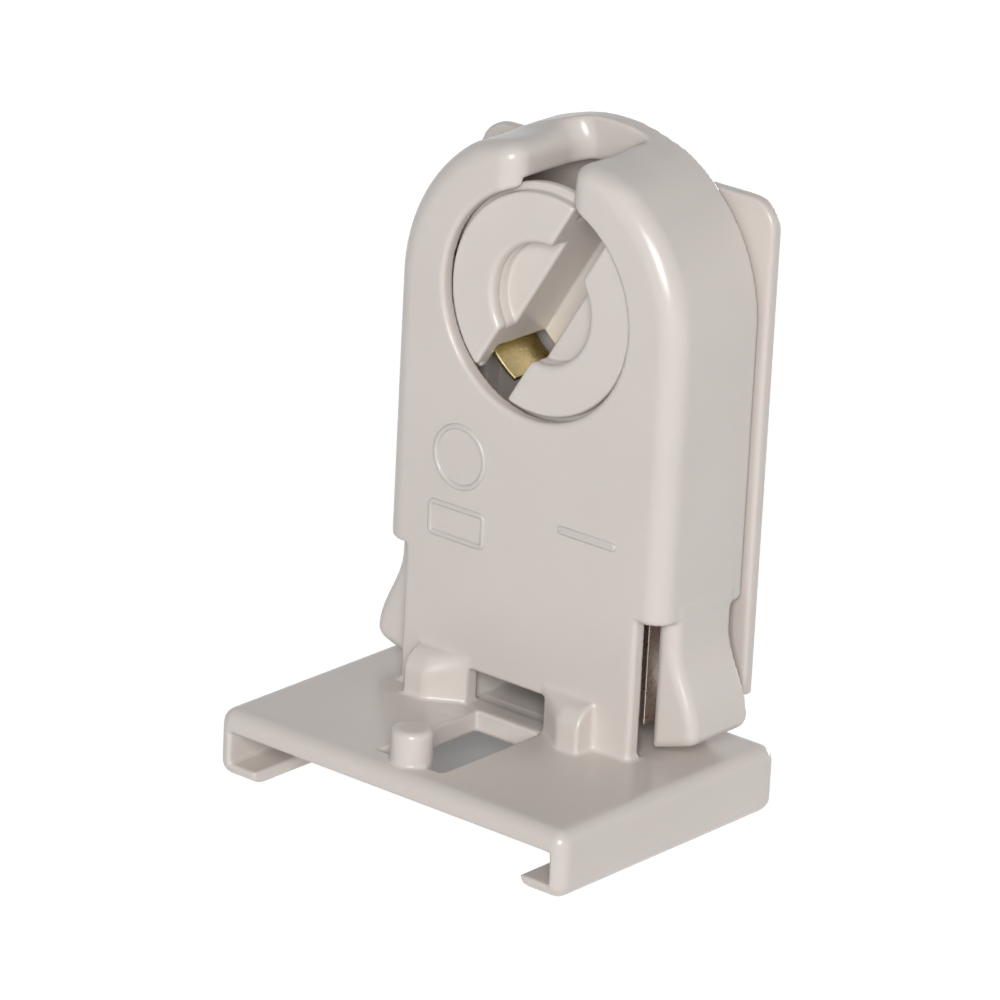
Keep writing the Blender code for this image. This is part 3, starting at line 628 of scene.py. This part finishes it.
def tower_field(x, y, z, s):
    """The arched tower without its hollow: a slab whose outline is straight to the arch's centre
    and an arc above it, with a rounded front edge, less the mouth between its two lips."""
    side = np.abs(x)
    arch_z = lamp_axis_z - s.arch_drop
    tower_back = cover_low_y() - SEAT_GAP
    arch = np.hypot(side, outward(z - arch_z)) - s.tower_half_width
    tower = common(arch, face_y - y, s.edge_round)
    lip_x = s.mouth_width / 2 + s.lip_round
    lip_z = arch_z + math.sqrt((s.tower_half_width - s.lip_round) ** 2 - lip_x**2)
    lips = s.lip_round - np.hypot(np.minimum(side - lip_x, 0), outward(z - lip_z))
    mouth_back = tower_back - s.mouth_wall
    fillet = s.mouth_fillet * np.clip((lip_x - x) / (2 * lip_x), LEAST_FILLET, 1)
    mouth = np.maximum(common(lips, y - mouth_back, fillet), lamp_axis_z - z)
    fade = np.clip((mouth_back - y) / LIP_FADE, 0, 1)
    lip_edge = s.fine_round + (s.edge_round - s.fine_round) * fade * fade * (3 - 2 * fade)
    tower = carved(tower, mouth, lip_edge)
    wall_top = s.tower_half_width - s.mouth_step - np.hypot(x, z - arch_z)
    wall_top += s.mouth_step * np.clip((side - lip_x) / s.lip_round, 0, 1)
    above = overlap(mouth_back - s.mouth_fillet - y, lamp_axis_z - z, wall_top)
    tower = np.maximum(tower, -above)
    tower = common(tower, y - tower_back, s.fine_round)
    return common(tower, s.shoulder - z, s.fine_round)


def cover_low_y():
    """Front of the cover's plate."""
    return cover_high[1] - COVER_PLATE


def hollow_field(x, y, z, s):
    """The tower's hollow: the same arch less its walls, and only the rotor's room at the crown."""
    side = np.abs(x)
    from_axis = np.hypot(side, outward(z - lamp_axis_z))
    hollow = from_axis - (s.tower_half_width - s.side_wall)
    crown = overlap(side - s.crown_half_width, s.flange_room - from_axis, lamp_axis_z - z)
    hollow = carved(hollow, crown, s.fine_round)
    return np.maximum(hollow, face_y + s.front_wall - y)


def foot_field(x, y, z, s):
    """The foot: a rounded block, less the channel above its lips and the gap between them."""
    foot = bar_field(x, y, z, housing_low, (*housing_high[:2], s.foot_height), s.foot_round)
    side = np.abs(x)
    inner = housing_high[0] - s.foot_wall
    channel = np.maximum(side - inner, between(z, s.foot_lip, s.foot_height - s.foot_plate))
    throat = np.maximum(side - (inner - s.lip_reach), z - s.foot_lip - PAST)
    return carved(foot, np.minimum(channel, throat), s.fine_round)


def rib_field(x, y, z, s):
    """A wedge on each side of the window. Its front stands out by the depth p, which falls to
    nothing as a quarter circle above the upright part. The inner face slants from the ridge,
    where it stands out by p, to the window's side, where it meets the tower."""
    side = np.abs(x - s.window_x)
    jamb = s.window_width / 2
    slant_width = s.rib_ridge - jamb
    rise = np.clip((z - s.foot_height - s.rib_height) / s.rib_depth, 0, RIB_RISE_LIMIT)
    cosine = np.sqrt(1 - rise**2)
    depth = s.rib_depth * cosine
    fall = rise / cosine
    front = (face_y - depth - y) / np.hypot(1, fall)
    part = (side - jamb) / slant_width
    slope_x = depth / slant_width
    slant = (face_y - depth * part - y) / np.sqrt(1 + slope_x**2 + (fall * np.clip(part, 0, 1)) ** 2)
    rib = common(common(front, slant, s.rib_edge), side - s.rib_outer, s.rib_edge)
    top = z - s.foot_height - s.rib_height - s.rib_depth
    return overlap(rib, y - face_y - LAP, jamb - side, s.foot_height - LAP - z, top)


def housing_field(x, y, z, s):
    """Foot and tower as one moulding."""
    side = np.abs(x)
    body = carved(tower_field(x, y, z, s), hollow_field(x, y, z, s), s.fine_round)
    wall = between(y, face_y, face_y + s.front_wall)
    leg = common(side - s.leg_half_width, wall, s.fine_round)
    leg = np.maximum(leg, between(z, s.foot_height - LAP, s.shoulder + LEG_RISE))
    body = np.minimum(body, leg)
    section = outline_field(side, z, barb_section(s))
    barb = common(section, face_y + s.barb_setback - y, s.barb_edge)
    barb = common(barb, y - face_y - s.barb_setback - s.barb_length, s.fine_round)
    pocket_y = face_y + s.barb_setback + s.barb_wall - y
    pocket = np.maximum(outline_field(side, z, barb_pocket(s)), pocket_y)
    body = joined(body, carved(barb, pocket, s.fine_round), s.fine_round)
    body = joined(body, foot_field(x, y, z, s), ROOT_ROUND)
    body = joined(body, rib_field(x, y, z, s), SOFT_ROUND)
    tower_back = cover_low_y() - SEAT_GAP
    low_z = s.foot_height - LAP
    chamber = bar_field(
        side, y, z,
        (s.chamber_x - s.chamber_wall, face_y + CHAMBER_SETBACK, low_z),
        (s.chamber_x, tower_back - CHAMBER_BACK_ROOM, s.chamber_top),
        SMALL_ROUND,
    )
    sill = bar_field(
        x, y, z,
        (-s.leg_half_width, tower_back - SILL_DEPTH, low_z),
        (s.leg_half_width, tower_back, cover_low[2] + LAP),
        SMALL_ROUND,
    )
    body = joined(body, np.minimum(chamber, sill), SMALL_ROUND)
    bore = np.hypot(x, z - lamp_axis_z) - (s.rotor_radius + s.bore_gap)
    bore = np.maximum(bore, y - face_y - s.front_wall - LAP)
    body = carved(body, bore, s.bore_edge)
    peg_y = housing_low[1] + s.cutout_margin
    cutout = overlap(
        side - s.cutout_width / 2,
        between(y, peg_y, face_y - s.cutout_back),
        between(z, 0.0, s.foot_height + SLIVER),
    )
    window = overlap(
        np.abs(x - s.window_x) - s.window_width / 2,
        y - face_y - s.front_wall - FAR_PAST,
        face_y - s.rib_depth - FAR_PAST - y,
        between(z, s.foot_height, s.foot_height + s.window_height),
    )
    body = carved(body, np.minimum(cutout, window), SMALL_ROUND)
    peg = common(np.hypot(x, y - peg_y) - s.peg_radius, z - s.foot_height - s.peg_height, s.peg_round)
    peg = np.maximum(peg, s.foot_height - s.foot_plate + SLIVER - z)
    return joined(body, peg, HAIR_ROUND)


def rotor_field(x, y, z, s):
    """Disc, flange and drum turned round the lamp's axis, less the slot across them, the round
    recess in the face and the pivot's hole in the back."""
    back = rotor_high[1]
    radius = np.hypot(x, z - lamp_axis_z)
    disc = common(radius - s.disc_radius, rotor_face - y, s.rim_round)
    flange_y = rotor_face + s.flange_front
    disc = np.maximum(disc, y - flange_y - SOFT_ROUND)
    flange_depth = between(y, flange_y, flange_y + s.flange_thickness)
    flange = common(radius - rotor_high[0], flange_depth, HAIR_ROUND)
    drum = common(radius - s.drum_radius, between(y, flange_y, back), SOFT_ROUND)
    rotor = np.minimum(np.minimum(disc, flange), drum)
    recess = np.maximum(radius - s.recess_radius, y - rotor_face - s.recess_depth)
    rotor = carved(rotor, recess, s.recess_round)
    across = x * math.cos(s.tilt) - (z - lamp_axis_z) * math.sin(s.tilt)
    slot = np.maximum(np.abs(across) - s.slot_width / 2, y - rotor_face - s.slot_depth)
    rotor = carved(rotor, slot, SLOT_ROUND)
    socket = np.maximum(radius - s.pivot_radius, back - s.pivot_depth - y)
    return carved(rotor, socket, HAIR_ROUND)


def cover_field(x, y, z, s):
    """A plate with round upper corners, a shallow panel inside a rim, two rails, the rotor's
    pivot and the wire holes."""
    side = np.abs(x)
    low_z, high_z = cover_low[2], cover_high[2]
    half = cover_high[0]
    back = cover_high[1]
    front = back - s.plate
    over_x = side - (half - s.corner)
    over_z = z - (high_z - s.corner)
    inside = np.minimum(np.maximum(over_x, over_z), 0)
    outline = np.hypot(outward(over_x), outward(over_z)) + inside - s.corner
    outline = np.maximum(outline, low_z - z)
    plate = common(outline, between(y, front, back), s.edge_round)
    panel = np.maximum(outline + PANEL_MARGIN, back - PANEL_DEPTH - y)
    plate = carved(plate, panel, SOFT_ROUND)
    rail_x = strip_high[0] + s.rail_gap
    rail = bar_field(
        side, y, z,
        (rail_x - s.rail, cover_low[1], RAIL_FOOT),
        (rail_x, front + PAST, lamp_axis_z),
        SMALL_ROUND,
    )
    pivot = common(np.hypot(x, z - lamp_axis_z) - s.pivot_radius, pivot_tip() - y, SOFT_ROUND)
    pivot = np.maximum(pivot, y - front - PAST)
    cover = joined(plate, np.minimum(rail, pivot), SMALL_ROUND)
    for step in (-0.5, 0.5):
        hole_z = s.hole_z + step * s.hole_pitch
        hole = np.hypot(side - s.hole_x, z - hole_z) - s.hole_radius
        cover = carved(cover, hole, SOFT_ROUND)
    return cover


def pivot_tip():
    """End of the pivot, inside the rotor's back."""
    return rotor_high[1] - PIVOT_HOLD


def contact_route(s):
    """Up the wall from the terminal, round under the arch and back down beside the rotor, where
    the radius dips as a bell curve to press on a pin."""
    outer = strip_high[0] - s.strip / 2
    shift = outer - s.terminal_x
    start = np.array([
        (s.terminal_x, strip_low[2]),
        (s.terminal_x, s.jog_top - s.jog),
        (s.terminal_x + shift / 6, s.jog_top - s.jog * 3 / 4),
        (outer - shift / 6, s.jog_top - s.jog / 4),
        (outer, s.jog_top),
    ])
    over = arc_points((0, lamp_axis_z), outer, 0, s.top_angle, count=8)
    fold = (outer - s.contact_radius) / 2
    middle = s.contact_radius + fold
    fold_at = (middle * math.cos(s.top_angle), lamp_axis_z + middle * math.sin(s.top_angle))
    turn = arc_points(fold_at, fold, s.top_angle, s.top_angle + math.pi, count=14)[1:-1]
    angle = np.linspace(s.top_angle, s.end_angle, num=40)
    radius = s.contact_radius - s.bulge * np.exp(-((angle / s.bulge_width) ** 2))
    down = np.stack([radius * np.cos(angle), lamp_axis_z + radius * np.sin(angle)], 1)
    return np.concatenate([start, over, turn, down])


def leaf_route(s):
    """Along the chamber's wall, round the fold and back in a straight tongue."""
    low_x = leaf_low[0] + s.leaf / 2
    tip_x = s.terminal_x - s.strip / 2 - TONGUE_GAP - s.leaf / 2
    fold_y = leaf_high[1] - s.fold - s.leaf / 2
    start = np.array([(low_x, leaf_low[1]), (low_x, fold_y)])
    turn = arc_points((low_x + s.fold, fold_y), s.fold, FOLD_START, FOLD_END, count=12)
    end = np.array([(tip_x, fold_y - TONGUE)])
    return np.concatenate([start, turn, end])


def add_node(nodes, kind, values=(), **settings):
    """A new shader node with its settings and the values of its sockets."""
    node = nodes.new(f"ShaderNode{kind}")
    for name, value in settings.items():
        setattr(node, name, value)
    set_values(node, values)
    return node


def set_values(node, values):
    """Sets the values of a node's sockets."""
    for socket, value in values:
        node.inputs[socket].default_value = value


def wire(links, *rows):
    """Makes links: each row is a node, its output, the node that takes it, and the input."""
    for source, output, target, socket in rows:
        links.new(source.outputs[output], target.inputs[socket])


def toned(tone, factor):
    """A colour made lighter or darker, and opaque."""
    return (*(min(part * factor, 1.0) for part in tone), 1)


def grain_group():
    """Shared grain: slow changes of tone, fine changes of gloss and a faint relief."""
    group = bpy.data.node_groups.new("moulded_grain", "ShaderNodeTree")
    taken = {"Tone": "Color", "Shade": "Color", "Size": "Float"}
    taken.update({"Gloss": "Float", "Gloss Spread": "Float", "Relief": "Float"})
    handed_out = {"Colour": "Color", "Roughness": "Float", "Normal": "Vector"}
    for direction, sockets in (("INPUT", taken), ("OUTPUT", handed_out)):
        for name, kind in sockets.items():
            group.interface.new_socket(name=name, in_out=direction, socket_type=f"NodeSocket{kind}")
    nodes, links = group.nodes, group.links
    given = nodes.new("NodeGroupInput")
    result = nodes.new("NodeGroupOutput")
    place = add_node(nodes, "TexCoord")
    slow = add_node(nodes, "TexNoise", [("Detail", 3)])
    fine = add_node(nodes, "TexNoise", [("Detail", 4)])
    finer = add_node(nodes, "Math", [(1, FINER_GRAIN)], operation="MULTIPLY")
    tone = add_node(nodes, "Mix", data_type="RGBA")
    gloss = add_node(nodes, "MapRange")
    bump = add_node(nodes, "Bump", [("Distance", GRAIN_DEPTH)])
    for operation, end in (("SUBTRACT", "To Min"), ("ADD", "To Max")):
        bound = add_node(nodes, "Math", operation=operation)
        wire(links, (given, "Gloss", bound, 0), (given, "Gloss Spread", bound, 1))
        wire(links, (bound, 0, gloss, end))
    wire(
        links,
        (place, "Object", slow, "Vector"),
        (place, "Object", fine, "Vector"),
        (given, "Size", slow, "Scale"),
        (given, "Size", finer, 0),
        (finer, 0, fine, "Scale"),
        (slow, "Fac", tone, "Factor"),
        (given, "Tone", tone, "A"),
        (given, "Shade", tone, "B"),
        (fine, "Fac", gloss, "Value"),
        (fine, "Fac", bump, "Height"),
        (given, "Relief", bump, "Strength"),
        (tone, "Result", result, "Colour"),
        (gloss, "Result", result, "Roughness"),
        (bump, "Normal", result, "Normal"),
    )
    return group


def finish_material(name, tone, light, dark, size, gloss, spread, relief, metallic=0.0, soft=0.0):
    """A Principled material whose colour, roughness and relief come from the shared grain. Its
    colour goes from the tone's lighter to its darker form."""
    material = bpy.data.materials.new(name)
    material.use_nodes = True
    nodes = material.node_tree.nodes
    shader = nodes["Principled BSDF"]
    set_values(shader, [("Metallic", metallic), ("IOR", 1.5)])
    if soft:
        set_values(shader, [("Subsurface Weight", soft), ("Subsurface Radius", LIGHT_SPREAD)])
        set_values(shader, [("Subsurface Scale", LIGHT_DEPTH)])
    grain = nodes.new("ShaderNodeGroup")
    grain.node_tree = bpy.data.node_groups.get("moulded_grain") or grain_group()
    set_values(grain, [("Tone", toned(tone, light)), ("Shade", toned(tone, dark)), ("Size", size)])
    set_values(grain, [("Gloss", gloss), ("Gloss Spread", spread), ("Relief", relief)])
    wire(
        material.node_tree.links,
        (grain, "Colour", shader, "Base Color"),
        (grain, "Roughness", shader, "Roughness"),
        (grain, "Normal", shader, "Normal"),
    )
    return material


def tarnish_and_painted_shade(material, dull, low_z, high_z):
    """Dulls a metal's colour below one height, as tarnish and as painted shade; it is clear above the
    other.
    """
    nodes = material.node_tree.nodes
    split = add_node(nodes, "SeparateXYZ")
    clear_of_tarnish_and_shade = add_node(nodes, "MapRange", [("From Min", low_z), ("From Max", high_z)])
    mixed = add_node(nodes, "Mix", [("A", (*dull, 1))], data_type="RGBA")
    grain = next(node for node in nodes if node.type == "GROUP")
    wire(
        material.node_tree.links,
        (add_node(nodes, "TexCoord"), "Object", split, 0),
        (split, "Z", clear_of_tarnish_and_shade, "Value"),
        (clear_of_tarnish_and_shade, "Result", mixed, "Factor"),
        (grain, "Colour", mixed, "B"),
        (mixed, "Result", nodes["Principled BSDF"], "Base Color"),
    )


def plastic_material(name, tone):
    """Glossy moulded plastic that lets a little light in."""
    gloss = bpy.context.scene.holder_finishes.gloss
    grain = dict(light=1.03, dark=0.95, size=90, gloss=gloss, spread=0.05, relief=0.12)
    return finish_material(name, tone, **grain, soft=0.12)


def metal_material(name, tone, **grain):
    """Rolled strip of metal, lighter and darker in places."""
    return finish_material(name, tone, light=1.1, **grain, metallic=1.0)


def set_up(piece, body, slot, material, *nodes):
    """Gives a piece its material and its body, and hides the model's parts that it stands for. The
    slot is not used.
    """
    piece.data.materials.clear()
    piece.data.materials.append(material)
    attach(piece, body)
    if nodes:
        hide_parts(*nodes)


def build_moulded(node, slot, body, field, box, s, tone):
    """Draws a moulded piece from its field and dresses it in plastic."""
    grid = field_grid(*box, s.pitch)
    piece = moulded_piece(f"{node}_moulding", field(*grid, s), grid, s.pitch)
    set_up(piece, body, slot, plastic_material(slot, tone), node)
    return {"FINISHED"}


class BuildHousing(bpy.types.Operator):
    """Build the foot and tower"""

    bl_idname = "lamp_holder.housing"
    bl_label = "Housing"

    def execute(self, context):
        scene = context.scene
        box = (housing_low, housing_high)
        given = (scene.holder_housing, scene.holder_finishes.housing)
        return build_moulded("housing", "housing_plastic", HOLDER, housing_field, box, *given)


class BuildRotor(bpy.types.Operator):
    """Build the slotted rotor"""

    bl_idname = "lamp_holder.rotor"
    bl_label = "Rotor"

    def execute(self, context):
        scene = context.scene
        box = (rotor_low, rotor_high)
        given = (scene.holder_rotor, scene.holder_finishes.rotor)
        return build_moulded("rotor", "rotor_plastic", ROTOR, rotor_field, box, *given)


class BuildCover(bpy.types.Operator):
    """Build the rear cover"""

    bl_idname = "lamp_holder.cover"
    bl_label = "Rear Cover"

    def execute(self, context):
        scene = context.scene
        box = (cover_low, cover_high)
        given = (scene.holder_cover, scene.holder_finishes.cover)
        return build_moulded("rear_cover", "cover_plastic", HOLDER, cover_field, box, *given)


class BuildStrips(bpy.types.Operator):
    """Build the brass contacts and the steel wire clamps"""

    bl_idname = "lamp_holder.strips"
    bl_label = "Contacts and Clamps"

    def execute(self, context):
        s = context.scene.holder_strips
        looks = context.scene.holder_finishes
        grain = dict(dark=0.75, size=260, gloss=0.3, spread=0.12, relief=0.25)
        brass = metal_material("contact_brass", looks.brass, **grain)
        # Painted shade and tarnish: the brass is dull and darker below the jog, at the terminals in
        # the slit
        tarnish_and_painted_shade(brass, looks.dull_shaded_brass, s.jog_top, lamp_axis_z - s.contact_radius)
        grain = dict(dark=0.8, size=300, gloss=0.28, spread=0.1, relief=0.2)
        steel = metal_material("spring_steel", looks.steel, **grain)
        contact = eased(evenly(contact_route(s), STRIP_STEP), CONTACT_EASING)
        leaf = eased(evenly(leaf_route(s), STRIP_STEP), LEAF_EASING)
        width = (strip_low[1], strip_high[1])
        height = (leaf_low[2], leaf_high[2])
        for side, word in ((1, "right"), (-1, "left")):
            mirror = np.array([side, 1])
            name = f"contact_strip_{word}"
            strip = strip_piece(name, contact * mirror, *width, s.strip, s.corner, True)
            set_up(strip, HOLDER, "contact_brass", brass, f"contact_{word}")
            name = f"clamp_leaf_{word}"
            clamp = strip_piece(name, leaf * mirror, *height, s.leaf, s.corner, False)
            set_up(clamp, HOLDER, "spring_steel", steel, f"wire_clamp_{word}")
        return {"FINISHED"}


class BuildMarks(bpy.types.Operator):
    """Build the plain raised marks on the tower's face"""

    bl_idname = "lamp_holder.marks"
    bl_label = "Raised Marks"

    def execute(self, context):
        s = context.scene.holder_marks
        radius = s.ring_radius - s.line / 2
        ring = arc_points((s.ring_x, s.ring_z), radius, 0, 2 * math.pi, count=97)[:-1]
        half_w, half_h = (s.frame_width - s.line) / 2, (s.frame_height - s.line) / 2
        corners = []
        for i, (a, b) in enumerate(((1, 1), (-1, 1), (-1, -1), (1, -1))):
            centre_x = s.frame_x + a * (half_w - FRAME_CORNER)
            centre = (centre_x, s.frame_z + b * (half_h - FRAME_CORNER))
            quarter = (i * math.pi / 2, (i + 1) * math.pi / 2)
            corners.append(arc_points(centre, FRAME_CORNER, *quarter, count=6))
        box = np.concatenate(corners)
        material = bpy.data.materials["housing_plastic"]
        for name, path in (("mark_ring", ring), ("mark_frame", box), ("mark_bar", bar_path(s))):
            piece = bead_piece(name, path, s.line / 2, s.raise_by)
            set_up(piece, HOLDER, "housing_plastic", material)
        return {"FINISHED"}


def bar_path(s):
    """A narrow closed loop, so that a bead along it makes a solid bar with round ends."""
    half = s.bar_width / 2 - s.line / 2
    up = math.pi / 2
    right = arc_points((s.bar_x + half, s.bar_z), s.line / 4, -up, up, count=6)
    left = arc_points((s.bar_x - half, s.bar_z), s.line / 4, up, 3 * math.pi / 2, count=6)
    return np.concatenate([right, left])


def bead_piece(name, path, half_width, height):
    """A raised bead on the tower's face along a closed path: an oval profile, half sunk in the
    plastic, carried round the path."""
    ahead = np.roll(path, -1, 0) - np.roll(path, 1, 0)
    ahead /= np.linalg.norm(ahead, axis=1, keepdims=True)
    across = np.stack([ahead[:, 1], -ahead[:, 0]], 1)
    turn = np.linspace(0, 2 * math.pi, num=13)[:-1]
    wide = half_width * np.cos(turn)
    flat = path[:, None, :] + across[:, None, :] * wide[None, :, None]
    depth = np.broadcast_to(face_y - height * np.sin(turn), flat.shape[:2])
    points = np.stack([flat[..., 0], depth, flat[..., 1]], -1)
    rows, columns = points.shape[:2]
    piece = surface_piece(name, points.reshape(-1, 3), ring_faces(rows, columns, closed_rows=True))
    face_outwards(piece)
    return piece


class BuildStage(bpy.types.Operator):
    """Build the floor, the lamps and the camera"""

    bl_idname = "lamp_holder.stage"
    bl_label = "Stage"

    def execute(self, context):
        scene = context.scene
        scene.view_settings.view_transform = "Standard"
        half = FLOOR_HALF_WIDTH
        corners = [(-half, -half, 0), (half, -half, 0), (half, half, 0), (-half, half, 0)]
        floor = surface_piece("floor", corners, [[0, 1, 2, 3]])
        floor.data.materials.append(floor_material(scene.holder_finishes.floor))
        add_world(scene)
        for lamp in LAMPS:
            add_lamp(scene, *lamp)
        add_camera(scene)
        return {"FINISHED"}


def ray_mask(nodes, links):
    """A node that gives one for what the camera sees directly, in a mirror or through glass."""
    path = add_node(nodes, "LightPath")
    first = add_node(nodes, "Math", operation="MAXIMUM")
    second = add_node(nodes, "Math", operation="MAXIMUM")
    wire(
        links,
        (path, "Is Camera Ray", first, 0),
        (path, "Is Glossy Ray", first, 1),
        (first, 0, second, 0),
        (path, "Is Transmission Ray", second, 1),
    )
    return second


def floor_material(tone):
    """A pale floor: almost white to the eye, with the object's shadow, and with a painted shadow that
    makes it darker in a fixed rectangle under the foot. To the light that it throws back on the
    object it is pale all over."""
    material = bpy.data.materials.new("pale_floor")
    material.use_nodes = True
    nodes, links = material.node_tree.nodes, material.node_tree.links
    shader = nodes["Principled BSDF"]
    white = (1, 1, 1, 1)
    set_values(shader, [("Roughness", 0.9), ("Specular IOR Level", 0.1), ("Emission Color", white)])
    seen = ray_mask(nodes, links)
    tones = [("A", (*tone, 1)), ("B", (*FLOOR_SEEN, 1))]
    colour_seen = add_node(nodes, "Mix", tones, data_type="RGBA")
    split = add_node(nodes, "SeparateXYZ")
    clear = add_node(nodes, "Math", operation="MAXIMUM")
    glow = add_node(nodes, "MapRange", [("To Min", PAINTED_SHADOW_GLOW), ("To Max", FLOOR_GLOW)])
    masked = add_node(nodes, "Math", operation="MULTIPLY")
    # Painted shadow: inside a fixed rectangle under the foot the glow falls to a low value
    for i, (axis, middle, half) in enumerate(PAINTED_SHADOW_BOX):
        offset = add_node(nodes, "Math", [(1, middle)], operation="SUBTRACT")
        distance = add_node(nodes, "Math", operation="ABSOLUTE")
        fade = [("From Min", half - PAINTED_SHADOW_FADE), ("From Max", half)]
        edge = add_node(nodes, "MapRange", fade, interpolation_type="SMOOTHSTEP")
        wire(links, (split, axis, offset, 0), (offset, 0, distance, 0))
        wire(links, (distance, 0, edge, "Value"), (edge, "Result", clear, i))
    wire(
        links,
        (seen, 0, colour_seen, "Factor"),
        (colour_seen, "Result", shader, "Base Color"),
        (add_node(nodes, "TexCoord"), "Object", split, 0),
        (clear, 0, glow, "Value"),
        (glow, "Result", masked, 0),
        (seen, 0, masked, 1),
        (masked, 0, shader, "Emission Strength"),
    )
    return material


def add_world(scene):
    """An even pale world, white where the camera sees it."""
    world = bpy.data.worlds.new("pale_world")
    world.use_nodes = True
    nodes, links = world.node_tree.nodes, world.node_tree.links
    back = nodes["Background"]
    set_values(back, [("Color", (1, 1, 1, 1))])
    strength = add_node(nodes, "MapRange", [("To Min", WORLD_LIGHT), ("To Max", 1.0)])
    seen = ray_mask(nodes, links)
    wire(links, (seen, 0, strength, "Value"), (strength, "Result", back, "Strength"))
    scene.world = world


def looking(back, up):
    """Axes of a view that looks away from back, with up as near to its Y as it can be."""
    back = np.asarray(back, float) / np.linalg.norm(back)
    right = np.cross(up, back)
    right /= np.linalg.norm(right)
    return right, np.cross(back, right), back


def placed(obj, place, axes):
    """Puts an object's axes and place in its matrix."""
    matrix = np.eye(4)
    for i, axis in enumerate(axes):
        matrix[:3, i] = axis
    matrix[:3, 3] = place
    obj.matrix_world = mathutils.Matrix(matrix.tolist())


def add_lamp(scene, name, place, size, power):
    """A rectangular soft lamp."""
    lamp = bpy.data.lights.new(name, "AREA")
    lamp.shape = "RECTANGLE"
    lamp.size, lamp.size_y = size
    lamp.energy = power
    obj = bpy.data.objects.new(name, lamp)
    scene.collection.objects.link(obj)
    placed(obj, place, looking(np.array(place) - AIM, (0, 0, 1)))


def add_camera(scene):
    """Camera at the photograph's place, turned a little about its own axis."""
    camera = bpy.data.cameras.new("camera")
    camera.lens = CAMERA_LENS
    camera.shift_x, camera.shift_y = CAMERA_SHIFT
    obj = bpy.data.objects.new("camera", camera)
    scene.collection.objects.link(obj)
    back = np.array([
        math.sin(CAMERA_TURN) * math.cos(CAMERA_RISE),
        -math.cos(CAMERA_TURN) * math.cos(CAMERA_RISE),
        math.sin(CAMERA_RISE),
    ])
    right, up, back = looking(back, (0, 0, 1))
    turn_cos, turn_sin = math.cos(CAMERA_ROLL), math.sin(CAMERA_ROLL)
    axes = (turn_cos * right - turn_sin * up, turn_sin * right + turn_cos * up, back)
    placed(obj, AIM + back * CAMERA_DISTANCE, axes)
    scene.camera = obj


class HolderPanel(bpy.types.Panel):
    """Lists the sizes, the finishes and the build steps"""

    bl_label = "Lamp Holder"
    bl_idname = "VIEW3D_PT_lamp_holder"
    bl_space_type = "VIEW_3D"
    bl_region_type = "UI"
    bl_category = "Lamp Holder"

    def draw(self, context):
        layout = self.layout
        for name, group in SETTINGS.items():
            box = layout.box()
            box.label(text=group.__doc__)
            for prop in group.__annotations__:
                box.prop(getattr(context.scene, name), prop)
        for operator in OPERATORS:
            layout.operator(operator.bl_idname)


SETTINGS = {
    "holder_housing": HousingSizes,
    "holder_rotor": RotorSizes,
    "holder_cover": CoverSizes,
    "holder_strips": StripSizes,
    "holder_marks": MarkSizes,
    "holder_finishes": Finishes,
}
OPERATORS = (BuildHousing, BuildRotor, BuildCover, BuildStrips, BuildMarks, BuildStage)


def register():
    """Registers the classes and hangs the settings on the scene."""
    for cls in (*SETTINGS.values(), *OPERATORS, HolderPanel):
        bpy.utils.register_class(cls)
    for name, group in SETTINGS.items():
        setattr(bpy.types.Scene, name, bpy.props.PointerProperty(type=group))


def unregister():
    """Undoes register."""
    for name in SETTINGS:
        delattr(bpy.types.Scene, name)
    for cls in reversed((*SETTINGS.values(), *OPERATORS, HolderPanel)):
        bpy.utils.unregister_class(cls)


def main():
    register()
    bpy.ops.lamp_holder.housing()
    bpy.ops.lamp_holder.rotor()
    bpy.ops.lamp_holder.cover()
    bpy.ops.lamp_holder.strips()
    bpy.ops.lamp_holder.marks()
    bpy.ops.lamp_holder.stage()


if __name__ == "__main__":
    main()
